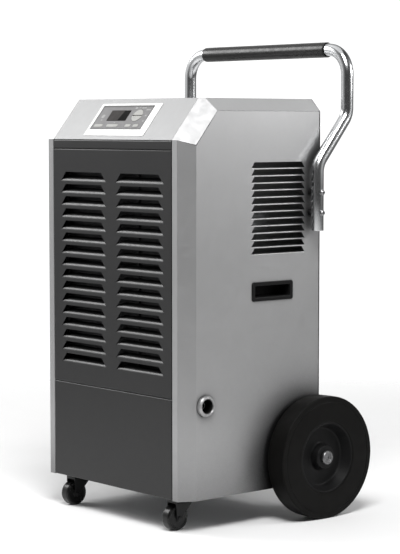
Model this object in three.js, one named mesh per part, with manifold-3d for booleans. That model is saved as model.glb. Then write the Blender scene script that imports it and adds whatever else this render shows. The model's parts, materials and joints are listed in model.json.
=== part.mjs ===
// Commercial refrigerant dehumidifier on two big rear wheels and two swivel casters.
// Frame: millimetres, +X to the machine's right side, +Y to its back, +Z up, floor at z = 0.
// While it is built, the front panel lies in the plane y = 0; the last line centres the footprint.
import * as THREE from "three";
import { mergeVertices } from "three/addons/utils/BufferGeometryUtils.js";
import Module from "manifold-3d";

const wasm = await Module();
wasm.setup();

// ---------------------------------------------------------------- driving dimensions (mm)
const GAP = 0.3; // clearance between touching pieces
const SHEET = 1.5; // cabinet sheet thickness
const BODY = { halfW: 240, back: 388, bottom: 70, top: 903 };
const CORNER = { stripIn: 204, stripOut: 222.5, back: 36 }; // front strips and the bevel behind them
const SLOPE = { foot: 816, depth: 71.5, cornerFoot: 806.5 }; // control slope; its corners dip lower
const ROOF_BEVEL = 26.5;
const SEAM = { low: 281, high: 795.5 }; // joints between the tank front, the grille and the trim strip
const PANEL_FOLD = 14; // depth of a front panel's folded edge

const FRONT_LOUVRE = {
  rows: 16, columns: [-97, 97], firstFoot: 724.3, pitch: 26.62,
  footW: 158, headW: 125, height: 20.5, bend: 60,
};
const SIDE_LOUVRE = {
  rows: 13, centreY: 265, firstFoot: 756.4, pitch: 15.1,
  footW: 155, headW: 137, height: 12.4, bend: 84,
};

const WHEEL = { radius: 133.5, width: 52, inner: 251, sides: 28, hubR: 76, y: 354 };
WHEEL.z = WHEEL.radius * Math.cos(Math.PI / WHEEL.sides); // a facet lies flat on the floor
const AXLE_R = 8;
const CASTER = { x: 176.5, wheelY: 30.5, swivelY: 43, radius: 27.3, width: 24, sides: 20 };
CASTER.z = CASTER.radius * Math.cos(Math.PI / CASTER.sides);

const HANDLE = {
  tubeR: 14, x: 263, legY: 358, barY: 447, foot: 620, kneeLow: 762, kneeHigh: 868, barZ: 1011,
  kneeR: 45, cornerR: 55, gripHalf: 203, gripR: 16.8, boltZ: [659, 702.5],
};
const GRIP = { y: 248.3, z: 495.5, flangeW: 117, flangeH: 40, mouthW: 100, mouthH: 24, depth: 36 };
const PORT = { y: 60, z: 266, outerR: 23, holeR: 15, height: 9 };
const CONSOLE = {
  outerW: 206, outerH: 88, centre: 54.5, height: 5,
  faceW: 175, faceH: 65, faceCentre: 56.5, pocketFloor: 1.6,
};
const KEYS = [
  { name: "key_power", w: 29, h: 8, x: -65, y: 34.5 },
  { name: "key_mode", w: 38, h: 8, x: -17, y: 34.5 },
  { name: "key_timer", w: 17, h: 8, x: 36, y: 34.5 },
  { name: "key_fan", w: 17, h: 8, x: 63, y: 34.5 },
];
const KEY = { low: 2.8, thick: 2.4 }; // heights above the slope; a key sinks less than the room below it
const DIAL = { x: 48, y: 62, r: 16, slot: 2 }; // the round pair of up and down keys
const DISPLAY = { w: 66, h: 28.5, x: -15.5, y: 62 };

const DECK = 286; // shelf between the tank bay and the coils
const TANK = { halfW: 188, front: 16, back: 214, low: 82, high: 262, wall: 2.5 };
const FLOAT = { x: 120, radius: 26, y: 152, low: 200, high: 232, pivotY: 197.5, pivotZ: 235 };
const TRAY = { halfW: 196, front: 52, back: 158, height: 14, wall: 2, spoutY: 120 };
const COIL = { halfW: 178, low: 308, high: 784, fins: 9, hairpins: 3 };
const COMPRESSOR = { x: -60, y: 288, low: 92, height: 161, radius: 54 };
const DISCHARGE = { x: -214, y: 300, z: 340, r: 4, end: 128 };
const SUCTION = { x: 212, y: 285, z: 330, r: 5.5, end: 84, riser: 60 };
const FILTER = { halfW: 192, front: 24, back: 32, low: 300, high: 786, columns: 3, rows: 4, bar: 8 };
const FAN = { z: 640, radius: 140, wall: 172, blades: 5, pitch: 38, shaftR: 6 };
const HOSE = { x: 208, y: 88, z: 296.5, r: 8 }; // the drain hose climbs through the shelf here
const GLAND = { x: 150, z: 130, shankR: 8.5, holeR: 4.5 };

const DEPTH = WHEEL.y + WHEEL.z; // front panel to the back of the wheels

// ---------------------------------------------------------------- materials
const paint = (color, roughness, metalness) =>
  new THREE.MeshStandardMaterial({ color, roughness, metalness });
const finish = {
  silver: () => paint(0xb4b6b8, 0.42, 0.75),
  cover: () => paint(0xd6d8da, 0.4, 0.6),
  charcoal: () => paint(0x3e3f41, 0.55, 0.2),
  black: () => paint(0x151516, 0.5, 0),
  rubber: () => paint(0x1e1d1b, 0.8, 0),
  chrome: () => paint(0xd8dadc, 0.14, 1),
  steel: () => paint(0x9a9c9e, 0.35, 0.9),
  zinc: () => paint(0xa9adb0, 0.45, 0.8),
  copper: () => paint(0xb4693f, 0.3, 0.95),
  fins: () => paint(0xb9bec2, 0.4, 0.85),
  white: () => paint(0xf1f1ef, 0.35, 0),
  grey: () => paint(0x8f8f90, 0.5, 0),
  keys: () => paint(0xa9a9aa, 0.5, 0),
  glass: () => paint(0x1b1a1a, 0.1, 0),
  tank: () => paint(0xd9dee2, 0.3, 0),
  board: () => paint(0x2f6a45, 0.6, 0),
  mesh: () => paint(0x5c5f62, 0.8, 0),
};

// ---------------------------------------------------------------- solids
function toManifold(geometry) {
  const bare = geometry.clone();
  bare.deleteAttribute("normal");
  bare.deleteAttribute("uv");
  const merged = mergeVertices(bare, 1e-4);
  return new wasm.Manifold(new wasm.Mesh({
    numProp: 3,
    vertProperties: new Float32Array(merged.attributes.position.array),
    triVerts: new Uint32Array(merged.index.array),
  }));
}

function toGeometry(manifold) {
  const mesh = manifold.getMesh();
  const geometry = new THREE.BufferGeometry();
  geometry.setAttribute("position", new THREE.BufferAttribute(new Float32Array(mesh.vertProperties), 3));
  geometry.setIndex(new THREE.BufferAttribute(new Uint32Array(mesh.triVerts), 1));
  geometry.computeVertexNormals();
  return geometry;
}

const union = (solids) => solids.reduce((whole, next) => whole.add(next));

function box(x0, x1, y0, y1, z0, z1) {
  const geometry = new THREE.BoxGeometry(x1 - x0, y1 - y0, z1 - z0);
  return toManifold(geometry.translate((x0 + x1) / 2, (y0 + y1) / 2, (z0 + z1) / 2));
}

// A cylinder or polygonal disc along "x", "y" or "z", from a to b on that axis.
function rod(axis, a, b, radius, centre, sides = 24) {
  const geometry = new THREE.CylinderGeometry(radius, radius, b - a, sides);
  if (axis === "x") geometry.rotateZ(-Math.PI / 2);
  if (axis === "z") geometry.rotateX(Math.PI / 2);
  const at = new THREE.Vector3(...centre);
  at[axis] = (a + b) / 2;
  return toManifold(geometry.translate(at.x, at.y, at.z));
}

// A ring or disc turned about the X axis from [radius, x] points; "spin" turns its facets.
function turnedX(profile, sides, centre, spin = 0) {
  const points = profile.map(([r, x]) => new THREE.Vector2(r, x));
  const geometry = new THREE.LatheGeometry([...points, points[0]], sides);
  geometry.rotateY(spin).rotateZ(-Math.PI / 2).translate(...centre);
  return outward(toManifold(geometry), geometry);
}

// A lathe profile may run either way round; the solid is rebuilt with its faces pointing out.
function outward(solid, geometry) {
  if (solid.volume() > 0) return solid;
  const index = geometry.index.array;
  for (let i = 0; i < index.length; i += 3) [index[i], index[i + 1]] = [index[i + 1], index[i]];
  return toManifold(geometry);
}

function outline(points) {
  return new THREE.Shape(points.map(([x, y]) => new THREE.Vector2(x, y)));
}

// A rectangle with round corners, centred at (cx, cy).
function roundedRectangle(width, height, radius, cx = 0, cy = 0) {
  const shape = new THREE.Shape();
  const x = cx - width / 2;
  const y = cy - height / 2;
  shape.moveTo(x + radius, y);
  shape.lineTo(x + width - radius, y);
  shape.absarc(x + width - radius, y + radius, radius, -Math.PI / 2, 0);
  shape.lineTo(x + width, y + height - radius);
  shape.absarc(x + width - radius, y + height - radius, radius, 0, Math.PI / 2);
  shape.lineTo(x + radius, y + height);
  shape.absarc(x + radius, y + height - radius, radius, Math.PI / 2, Math.PI);
  shape.lineTo(x, y + radius);
  shape.absarc(x + radius, y + radius, radius, Math.PI, Math.PI * 1.5);
  return shape;
}

function extruded(shape, depth, curveSegments = 4) {
  return toManifold(new THREE.ExtrudeGeometry(shape, { depth, bevelEnabled: false, curveSegments }));
}

// Shapes drawn in (y, z) and extruded along +X, or drawn in (x, z) and extruded along +Y.
const alongX = (shape, depth, x0, curveSegments) =>
  turn(extruded(shape, depth, curveSegments), [0, 1, 0, 0, 0, 1, 1, 0, 0], [x0, 0, 0]);
const alongY = (shape, depth, y0, curveSegments) =>
  turn(extruded(shape, depth, curveSegments).mirror([0, 0, 1]), [1, 0, 0, 0, 0, 1, 0, -1, 0], [0, y0, 0]);

// Places a solid: the images of its x, y and z axes are given one after the other.
function turn(solid, axes, at) {
  const m = [...axes.slice(0, 3), 0, ...axes.slice(3, 6), 0, ...axes.slice(6, 9), 0, ...at, 1];
  return solid.transform(m);
}

// A round tube through points, each given with the bend radius at that corner.
function bentTube(corners, radius, sides, stepDegrees = 15) {
  const path = [];
  corners.forEach(({ at, bend = 0 }, i) => {
    if (!bend) return path.push(at.clone());
    const before = corners[i - 1].at.clone().sub(at).normalize();
    const after = corners[i + 1].at.clone().sub(at).normalize();
    const turnAngle = Math.PI - before.angleTo(after);
    const reach = bend * Math.tan(turnAngle / 2);
    const middle = before.clone().add(after).normalize();
    const centre = at.clone().addScaledVector(middle, bend / Math.cos(turnAngle / 2));
    const start = at.clone().addScaledVector(before, reach).sub(centre);
    const axis = new THREE.Vector3().crossVectors(after, before).normalize();
    const steps = Math.max(2, Math.round(THREE.MathUtils.radToDeg(turnAngle) / stepDegrees));
    for (let k = 0; k <= steps; k += 1) {
      path.push(start.clone().applyAxisAngle(axis, (turnAngle * k) / steps).add(centre));
    }
    return path.length;
  });
  return sweep(path, radius, sides);
}

function sweep(path, radius, sides) {
  const positions = [];
  const index = [];
  const end = path.length - 1;
  const tangent = (i) => path[Math.min(i + 1, end)].clone().sub(path[Math.max(i - 1, 0)]).normalize();
  const side = new THREE.Vector3(1, 0, 0);
  if (Math.abs(side.dot(tangent(0))) > 0.9) side.set(0, 1, 0);
  let previous = tangent(0);
  path.forEach((point, i) => {
    const along = tangent(i);
    side.applyQuaternion(new THREE.Quaternion().setFromUnitVectors(previous, along));
    side.addScaledVector(along, -side.dot(along)).normalize();
    previous = along;
    for (let k = 0; k < sides; k += 1) {
      const spoke = side.clone().applyAxisAngle(along, (2 * Math.PI * (k + 0.5)) / sides);
      positions.push(...point.clone().addScaledVector(spoke, radius).toArray());
    }
  });
  for (let i = 0; i < end; i += 1) {
    for (let k = 0; k < sides; k += 1) {
      const a = i * sides + k;
      const b = i * sides + ((k + 1) % sides);
      index.push(a, b, b + sides, a, b + sides, a + sides);
    }
  }
  const last = end * sides;
  for (let k = 1; k < sides - 1; k += 1) {
    index.push(0, k + 1, k);
    index.push(last, last + k, last + k + 1);
  }
  const geometry = new THREE.BufferGeometry();
  geometry.setAttribute("position", new THREE.BufferAttribute(new Float32Array(positions), 3));
  geometry.setIndex(index);
  return toManifold(geometry);
}

const point = (x, y, z) => new THREE.Vector3(x, y, z);

// ---------------------------------------------------------------- the scene graph
const machine = new THREE.Group();

function add(name, solid, material, parent = machine) {
  const mesh = new THREE.Mesh(toGeometry(solid), material);
  mesh.name = name;
  parent.add(mesh);
  return mesh;
}

const mirrored = (solid) => solid.mirror([1, 0, 0]);
const SIDES = [["left", -1], ["right", 1]];
const onSide = (solid, sign) => (sign < 0 ? mirrored(solid) : solid);

// ---------------------------------------------------------------- cabinet: one folded skin
// Each corner of the outer skin, on the right; the left ones are mirrored.
const slopeRise = (BODY.top - SLOPE.foot) / SLOPE.depth;
const sideTop = BODY.top - ROOF_BEVEL;
const cornerDrop = SLOPE.cornerFoot - SLOPE.foot - slopeRise * CORNER.back;
const cornerFall = cornerDrop / (BODY.halfW - CORNER.stripIn);
const cornerY = (x, z) => (z - SLOPE.foot - cornerFall * (x - CORNER.stripIn)) / slopeRise;
const skinBack = BODY.back - SHEET - GAP;
const bevelIn = BODY.halfW - ROOF_BEVEL;
const flangeIn = BODY.halfW - 22; // the side panels' flanges lie against the rear panel
const flangeHigh = sideTop - 4;
const PANEL_DROP = 0.45; // keeps the side panels' heads clear of the top cover

const rightCorners = {
  stripFoot: [CORNER.stripIn, 0, BODY.bottom],
  stripHead: [CORNER.stripIn, 0, SLOPE.foot],
  edgeFoot: [CORNER.stripOut, 0, BODY.bottom],
  edgeHead: [CORNER.stripOut, 0, SLOPE.foot],
  sideFoot: [BODY.halfW, CORNER.back, BODY.bottom],
  sideHead: [BODY.halfW, CORNER.back, SLOPE.cornerFoot],
  backFoot: [BODY.halfW, skinBack, BODY.bottom],
  eaveFront: [BODY.halfW, cornerY(BODY.halfW, sideTop), sideTop],
  eaveBack: [BODY.halfW, skinBack, sideTop],
  slopeHead: [CORNER.stripIn, SLOPE.depth, BODY.top],
  roofFront: [bevelIn, cornerY(bevelIn, BODY.top), BODY.top],
  roofBack: [bevelIn, skinBack, BODY.top],
  flangeFoot: [flangeIn, skinBack, BODY.bottom],
  flangeHead: [flangeIn, skinBack, flangeHigh],
  flangeTop: [BODY.halfW, skinBack, flangeHigh],
};
const corners = {};
for (const [name, [x, y, z]] of Object.entries(rightCorners)) {
  corners[`${name}R`] = [x, y, z];
  corners[`${name}L`] = [-x, y, z];
}

// Faces run anticlockwise seen from outside, on the right side.
const rightFaces = {
  strip: ["stripFoot", "edgeFoot", "edgeHead", "stripHead"],
  chamfer: ["edgeFoot", "sideFoot", "sideHead", "edgeHead"],
  side: ["sideFoot", "backFoot", "flangeTop", "eaveBack", "eaveFront", "sideHead"],
  flange: ["backFoot", "flangeFoot", "flangeHead", "flangeTop"],
  ledge: ["stripHead", "edgeHead", "sideHead"],
  corner: ["stripHead", "sideHead", "eaveFront", "roofFront", "slopeHead"],
  bevel: ["eaveFront", "eaveBack", "roofBack", "roofFront"],
};
const faces = {
  slope: ["stripHeadL", "stripHeadR", "slopeHeadR", "slopeHeadL"],
  roof: ["slopeHeadL", "slopeHeadR", "roofFrontR", "roofBackR", "roofBackL", "roofFrontL"],
};
for (const [name, loop] of Object.entries(rightFaces)) {
  faces[`${name}R`] = loop.map((corner) => `${corner}R`);
  faces[`${name}L`] = loop.map((corner) => `${corner}L`).reverse();
}

function faceNormal(loop, table) {
  const normal = new THREE.Vector3();
  loop.forEach((name, i) => {
    const a = new THREE.Vector3(...table[name]);
    const b = new THREE.Vector3(...table[loop[(i + 1) % loop.length]]);
    normal.add(a.cross(b));
  });
  return normal.normalize();
}

// The inner skin's copy of each corner: one sheet thickness in from every face that meets there.
function innerCorners(table, loops, thickness) {
  const normals = {};
  for (const loop of loops) {
    const normal = faceNormal(loop, table);
    for (const name of loop) {
      // The small three-sided ledge runs out to nothing at the strip's head.
      if (loop.length === 3 && name.startsWith("stripHead")) continue;
      const known = normals[name] ?? (normals[name] = []);
      if (!known.some((other) => other.distanceTo(normal) < 1e-3)) known.push(normal);
    }
  }
  const inner = {};
  for (const [name, list] of Object.entries(normals)) {
    const move = new THREE.Vector3();
    for (let pass = 0; pass < 400; pass += 1) {
      for (const normal of list) move.addScaledVector(normal, -thickness - move.dot(normal));
    }
    inner[name] = new THREE.Vector3(...table[name]).add(move).toArray();
  }
  return inner;
}

// A closed sheet from some of the skin's faces, with a rim round every free edge.
function folded(names, shift = [0, 0, 0]) {
  const loops = names.map((name) => faces[name]);
  const inner = innerCorners(corners, Object.values(faces), SHEET);
  const order = [...new Set(loops.flat())];
  const positions = [];
  for (const table of [corners, inner]) {
    for (const name of order) positions.push(...table[name].map((value, axis) => value + shift[axis]));
  }
  const at = (name) => order.indexOf(name);
  const edges = new Map();
  const index = [];
  for (const loop of loops) {
    for (let i = 1; i < loop.length - 1; i += 1) {
      const [a, b, c] = [at(loop[0]), at(loop[i]), at(loop[i + 1])];
      index.push(a, b, c, a + order.length, c + order.length, b + order.length);
    }
    loop.forEach((name, i) => {
      const next = loop[(i + 1) % loop.length];
      edges.set(`${name} ${next}`, [name, next]);
    });
  }
  for (const [from, to] of edges.values()) {
    if (edges.has(`${to} ${from}`)) continue;
    const [a, b] = [at(from), at(to)];
    index.push(b, a, a + order.length, b, a + order.length, b + order.length);
  }
  const geometry = new THREE.BufferGeometry();
  geometry.setAttribute("position", new THREE.BufferAttribute(new Float32Array(positions), 3));
  geometry.setIndex(index);
  return toManifold(geometry);
}

// Cuts louvres into a panel and adds their flaps, each bent inward about the foot of its opening.
// Shapes are drawn in the panel's own (across, up) plane; depth runs into the cabinet.
function louvred(panel, { footW, headW, height, bend }, places, toPanel) {
  const trapezoid = (foot, head, tall) =>
    outline([[-foot / 2, 0], [foot / 2, 0], [head / 2, tall], [-head / 2, tall]]);
  const cutter = extruded(trapezoid(footW, headW, height), 8).translate([0, 0, -4]);
  const flap = extruded(trapezoid(footW - 1, headW - 1, height + 1), 1.2)
    .translate([0, -1, 0])
    .rotate([-bend, 0, 0])
    .translate([0, 0, -SHEET]);
  let result = panel;
  for (const [across, up] of places) {
    result = result.subtract(toPanel(cutter.translate([across, up, 0])));
  }
  for (const [across, up] of places) {
    result = result.add(toPanel(flap.translate([across, up, 0])));
  }
  return result;
}

// Panel planes: (across, up, out) to the machine's axes.
const onFront = (solid) => turn(solid, [1, 0, 0, 0, 0, 1, 0, -1, 0], [0, 0, 0]);
const onRight = (solid) => turn(solid, [0, 1, 0, 0, 0, 1, 1, 0, 0], [BODY.halfW, 0, 0]);

const rowsOf = ({ rows, firstFoot, pitch }, across) =>
  Array.from({ length: rows }, (_, row) => [across, firstFoot - row * pitch]);

function sidePanel(sign) {
  let panel = folded(["stripR", "chamferR", "sideR", "flangeR"], [0, 0, -PANEL_DROP]);
  const { stripIn } = CORNER;
  panel = panel.intersect(box(stripIn, BODY.halfW + 1, -1, BODY.back, 0, BODY.top));
  panel = panel.add(box(stripIn, stripIn + SHEET, SHEET / 2, PANEL_FOLD, BODY.bottom, SLOPE.foot - 3));
  panel = louvred(panel, SIDE_LOUVRE, rowsOf(SIDE_LOUVRE, SIDE_LOUVRE.centreY), onRight);
  const [inside, outside] = [BODY.halfW - 15, BODY.halfW + 10];
  const through = (radius, y, z) => rod("x", inside, outside, radius, [0, y, z]);
  const [gripHalfW, gripHalfH] = [GRIP.mouthW / 2 + 4, GRIP.mouthH / 2 + 4];
  panel = panel.subtract(box(
    inside, outside, GRIP.y - gripHalfW, GRIP.y + gripHalfW, GRIP.z - gripHalfH, GRIP.z + gripHalfH,
  ));
  panel = panel.subtract(through(AXLE_R + 1.5, WHEEL.y, WHEEL.z));
  for (const z of HANDLE.boltZ) panel = panel.subtract(through(4.5, HANDLE.legY, z));
  if (sign > 0) panel = panel.subtract(through(PORT.holeR + 3, PORT.y, PORT.z));
  return onSide(panel, sign);
}

function topCover() {
  return folded(["slope", "ledgeL", "ledgeR", "cornerL", "cornerR", "bevelL", "bevelR", "roof"]);
}

// A front panel: a plate with its four edges folded back.
function frontPanel(z0, z1) {
  const half = CORNER.stripIn - GAP;
  const inner = half - SHEET;
  const [low, high] = [z0 + GAP, z1 - GAP];
  const shell = box(-half, half, 0, PANEL_FOLD - GAP, low, high);
  return shell.subtract(box(-inner, inner, SHEET, PANEL_FOLD + 1, low + SHEET, high - SHEET));
}

function frontGrille() {
  const places = FRONT_LOUVRE.columns.flatMap((across) => rowsOf(FRONT_LOUVRE, across));
  return louvred(frontPanel(SEAM.low, SEAM.high), FRONT_LOUVRE, places, onFront);
}

// The back plate follows the cabinet's outline and closes it from behind.
function rearPanel() {
  const shape = outline([
    [-BODY.halfW, BODY.bottom], [BODY.halfW, BODY.bottom], [BODY.halfW, sideTop],
    [bevelIn, BODY.top], [-bevelIn, BODY.top], [-BODY.halfW, sideTop],
  ]);
  const plate = alongY(shape, SHEET, BODY.back - SHEET);
  const glandHole = rod("y", BODY.back - 10, BODY.back + 10, GLAND.shankR + 0.5, [GLAND.x, 0, GLAND.z]);
  return plate.subtract(glandHole);
}

// Tray with low walls that the side panels and the tank stand round.
function basePan() {
  const inset = SHEET + 0.6;
  const plan = (grow) => outline([
    [-CORNER.stripIn - 12 + grow, 16 + grow], [CORNER.stripIn + 12 - grow, 16 + grow],
    [BODY.halfW - inset - grow, 46 + grow], [BODY.halfW - inset - grow, skinBack - 4 - grow],
    [-BODY.halfW + inset + grow, skinBack - 4 - grow], [-BODY.halfW + inset + grow, 46 + grow],
  ]);
  const floor = BODY.bottom + 0.5;
  const tray = extruded(plan(0), 9).subtract(extruded(plan(SHEET), 9).translate([0, 0, 2]));
  return tray.translate([0, 0, floor]);
}

function cabinet() {
  add("base_pan", basePan(), finish.zinc());
  for (const [side, sign] of SIDES) add(`side_panel_${side}`, sidePanel(sign), finish.silver());
  add("top_cover", topCover(), finish.cover());
  add("front_grille", frontGrille(), finish.charcoal());
  add("trim_strip", frontPanel(SEAM.high, SLOPE.foot - 0.7), finish.charcoal());
  add("rear_panel", rearPanel(), finish.silver());
  add("cable_gland", cableGland(), finish.black());
}

function cableGland() {
  const part = (y0, y1, radius, sides) =>
    rod("y", BODY.back + y0, BODY.back + y1, radius, [GLAND.x, 0, GLAND.z], sides);
  const nut = part(GAP, 9, 12, 6);
  const [shank, mouth] = [part(-12, 2, GLAND.shankR), part(8, 18, GLAND.shankR)];
  return union([nut, shank, mouth]).subtract(part(-20, 20, GLAND.holeR));
}

// ---------------------------------------------------------------- recessed grips and drain port
function gripCup() {
  const { y, z, flangeW, flangeH, mouthW, mouthH, depth } = GRIP;
  const face = BODY.halfW + GAP;
  const wall = 2;
  const flange = alongX(roundedRectangle(flangeW, flangeH, 4, y, z), wall, face);
  const pocket = (x0, x1, grow) => {
    const [halfW, halfH] = [mouthW / 2 + grow, mouthH / 2 + grow];
    return box(x0, x1, y - halfW, y + halfW, z - halfH, z + halfH);
  };
  const cup = pocket(face - depth, face + 0.5, wall);
  return flange.add(cup).subtract(pocket(face - depth + wall, face + 10, 0));
}

function drainPort() {
  const { y, z, outerR, holeR, height } = PORT;
  const face = BODY.halfW + GAP;
  const collar = turnedX([
    [holeR, face - 22], [holeR + 2.5, face - 22], [holeR + 2.5, face], [outerR, face],
    [outerR - 1.5, face + height - 1.5], [outerR - 4, face + height], [holeR, face + height],
  ], 24, [0, y, z]);
  add("drain_collar", collar, finish.silver());
  const route = [
    { at: point(face - 10, y, z) },
    { at: point(HOSE.x, y, z), bend: 12 },
    { at: point(HOSE.x, HOSE.y, z), bend: 9 },
    { at: point(HOSE.x, HOSE.y, HOSE.z), bend: 8 },
    { at: point(TRAY.halfW + 0.4, HOSE.y, HOSE.z) },
  ];
  const spigot = rod("x", face - 20, face, HOSE.r - 2.5, [0, y, z], 10);
  const hose = bentTube(route, HOSE.r, 10, 30).subtract(spigot);
  add("drain_elbow", hose, finish.black());
}

function sideFittings() {
  for (const [side, sign] of SIDES) add(`grip_cup_${side}`, onSide(gripCup(), sign), finish.black());
  drainPort();
}

// ---------------------------------------------------------------- water tank drawer
function waterTank() {
  const { halfW, front, back, low, high, wall } = TANK;
  const outer = box(-halfW, halfW, front, back, low, high);
  const inner = box(-halfW + wall, halfW - wall, front + wall, back - wall, low + wall, high + 5);
  return outer.subtract(inner);
}

function tankFloat() {
  const { x, radius, y, low, high, pivotY, pivotZ } = FLOAT;
  const disc = rod("z", low, high, radius, [x, y, 0], 20);
  const arm = box(x - 6, x + 6, y, pivotY + 4, high - 1, high + 3);
  const knuckle = rod("x", x - 8, x + 8, 5, [0, pivotY, pivotZ], 12);
  return union([disc, arm, knuckle]);
}

function tankDrawer() {
  add("tank_front", frontPanel(BODY.bottom, SEAM.low), finish.charcoal());
  add("water_tank", waterTank(), finish.tank());
  add("tank_float", tankFloat(), finish.white());
}

// ---------------------------------------------------------------- refrigeration
function midDeck() {
  const half = BODY.halfW - SHEET - 0.8;
  const tongue = CORNER.stripIn + 8;
  const deck = box(-half, half, 50, skinBack - 3, DECK, DECK + SHEET)
    .add(box(-tongue, tongue, 18, 51, DECK, DECK + SHEET));
  const holes = [
    [0, TRAY.spoutY, 11],
    [HOSE.x, HOSE.y, HOSE.r + 1.5],
    [COMPRESSOR.x, DISCHARGE.y, DISCHARGE.r + 2],
    [SUCTION.riser, SUCTION.y, SUCTION.r + 2.5],
  ];
  return deck.subtract(union(holes.map(([x, y, r]) => rod("z", DECK - 5, DECK + 5, r, [x, y, 0], 12))));
}

function dripTray() {
  const { halfW, front, back, height, wall, spoutY } = TRAY;
  const base = DECK + SHEET + GAP;
  const block = (grow, z0, z1) => box(-halfW + grow, halfW - grow, front + grow, back - grow, z0, z1);
  const tray = block(0, base, base + height).subtract(block(wall, base + wall, base + 20));
  const spout = rod("z", DECK - 12, base + 1, 9.5, [0, spoutY, 0]);
  return tray.add(spout).subtract(rod("z", DECK - 20, base + 5, 7, [0, spoutY, 0]));
}

// A coil: a core sheet with upright fins and return bends at both ends.
function coil(y0, depth) {
  const { halfW: half, low: z0, high: z1, fins, hairpins } = COIL;
  const y = y0 + depth / 2;
  const parts = [box(-half, half, y - 1.2, y + 1.2, z0 + 4, z1 - 4)];
  for (let i = 0; i < fins; i += 1) {
    const x = -half + (2 * half * i) / (fins - 1);
    const thick = i % (fins - 1) === 0 ? 4 : 1.4; // the end plates are thicker
    parts.push(box(x - thick / 2, x + thick / 2, y0, y0 + depth, z0, z1));
  }
  for (let k = 0; k < hairpins; k += 1) {
    const z = z0 + 30 + ((z1 - z0 - 100) * k) / (hairpins - 1);
    parts.push(bentTube([
      { at: point(half + 0.5, y, z) },
      { at: point(half + 18, y, z), bend: 9 },
      { at: point(half + 18, y, z + 20), bend: 9 },
      { at: point(half + 0.5, y, z + 20) },
    ], 4.5, 6, 45));
  }
  return union(parts);
}

function compressor() {
  const { x, y, low, height, radius } = COMPRESSOR;
  const profile = [
    [0, 0], [radius - 10, 0], [radius, 10], [radius, height - 29],
    [radius - 8, height - 11], [radius - 34, height - 1], [0, height],
  ];
  const shell = new THREE.LatheGeometry(profile.map(([r, z]) => new THREE.Vector2(r, z)), 20);
  const body = toManifold(shell.rotateX(Math.PI / 2).translate(x, y, low));
  const [footLow, footHigh] = [low - 3, low + 1];
  const feet = box(x - 62, x + 62, y - 8, y + 8, footLow, footHigh)
    .add(box(x - 8, x + 8, y - 50, y + 44, footLow, footHigh));
  const pad = ([dx, dy]) => rod("z", BODY.bottom + 2.8, low - 2, 9, [x + dx, y + dy, 0], 10);
  return union([body, feet, ...[[-54, 0], [54, 0], [0, -44]].map(pad)]);
}

// Copper lines from the compressor to the two coils.
function pipes() {
  const out = DISCHARGE;
  const discharge = bentTube([
    { at: point(COMPRESSOR.x, out.y, COMPRESSOR.low + COMPRESSOR.height + GAP + 0.1) },
    { at: point(COMPRESSOR.x, out.y, out.z), bend: 14 },
    { at: point(out.x, out.y, out.z), bend: 14 },
    { at: point(out.x, out.end, out.z), bend: 14 },
    { at: point(out.x, out.end, out.z + 20) },
  ], out.r, 6, 30);
  add("discharge_pipe", discharge, finish.copper());
  const back = SUCTION;
  const entry = 200; // height where the suction line meets the compressor's side
  const suction = bentTube([
    { at: point(COMPRESSOR.x + COMPRESSOR.radius + 2, back.y, entry) },
    { at: point(back.riser, back.y, entry), bend: 16 },
    { at: point(back.riser, back.y, back.z), bend: 16 },
    { at: point(back.x, back.y, back.z), bend: 16 },
    { at: point(back.x, back.end, back.z), bend: 16 },
    { at: point(back.x, back.end, back.z + 30) },
  ], back.r, 6, 30);
  add("suction_pipe", suction, finish.copper());
}

function airFilter() {
  const { halfW, front, back, low, high, columns, rows, bar } = FILTER;
  const cellW = (2 * halfW - (columns + 1) * bar) / columns;
  const cellH = (high - low - (rows + 1) * bar) / rows;
  let frame = box(-halfW, halfW, front, back, low, high);
  for (let i = 0; i < columns; i += 1) {
    for (let k = 0; k < rows; k += 1) {
      const x = -halfW + bar + i * (cellW + bar);
      const z = low + bar + k * (cellH + bar);
      frame = frame.subtract(box(x, x + cellW, front - 4, back + 4, z, z + cellH));
    }
  }
  const web = box(-halfW + 4, halfW - 4, front + 5, front + 6.2, low + 4, high - 4);
  return frame.add(web);
}

function refrigeration() {
  add("mid_deck", midDeck(), finish.zinc());
  add("drip_tray", dripTray(), finish.black());
  add("evaporator_coil", coil(62, 34), finish.fins());
  add("condenser_coil", coil(106, 40), finish.fins());
  add("compressor", compressor(), finish.black());
  pipes();
  add("air_filter", airFilter(), finish.mesh());
}

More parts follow.
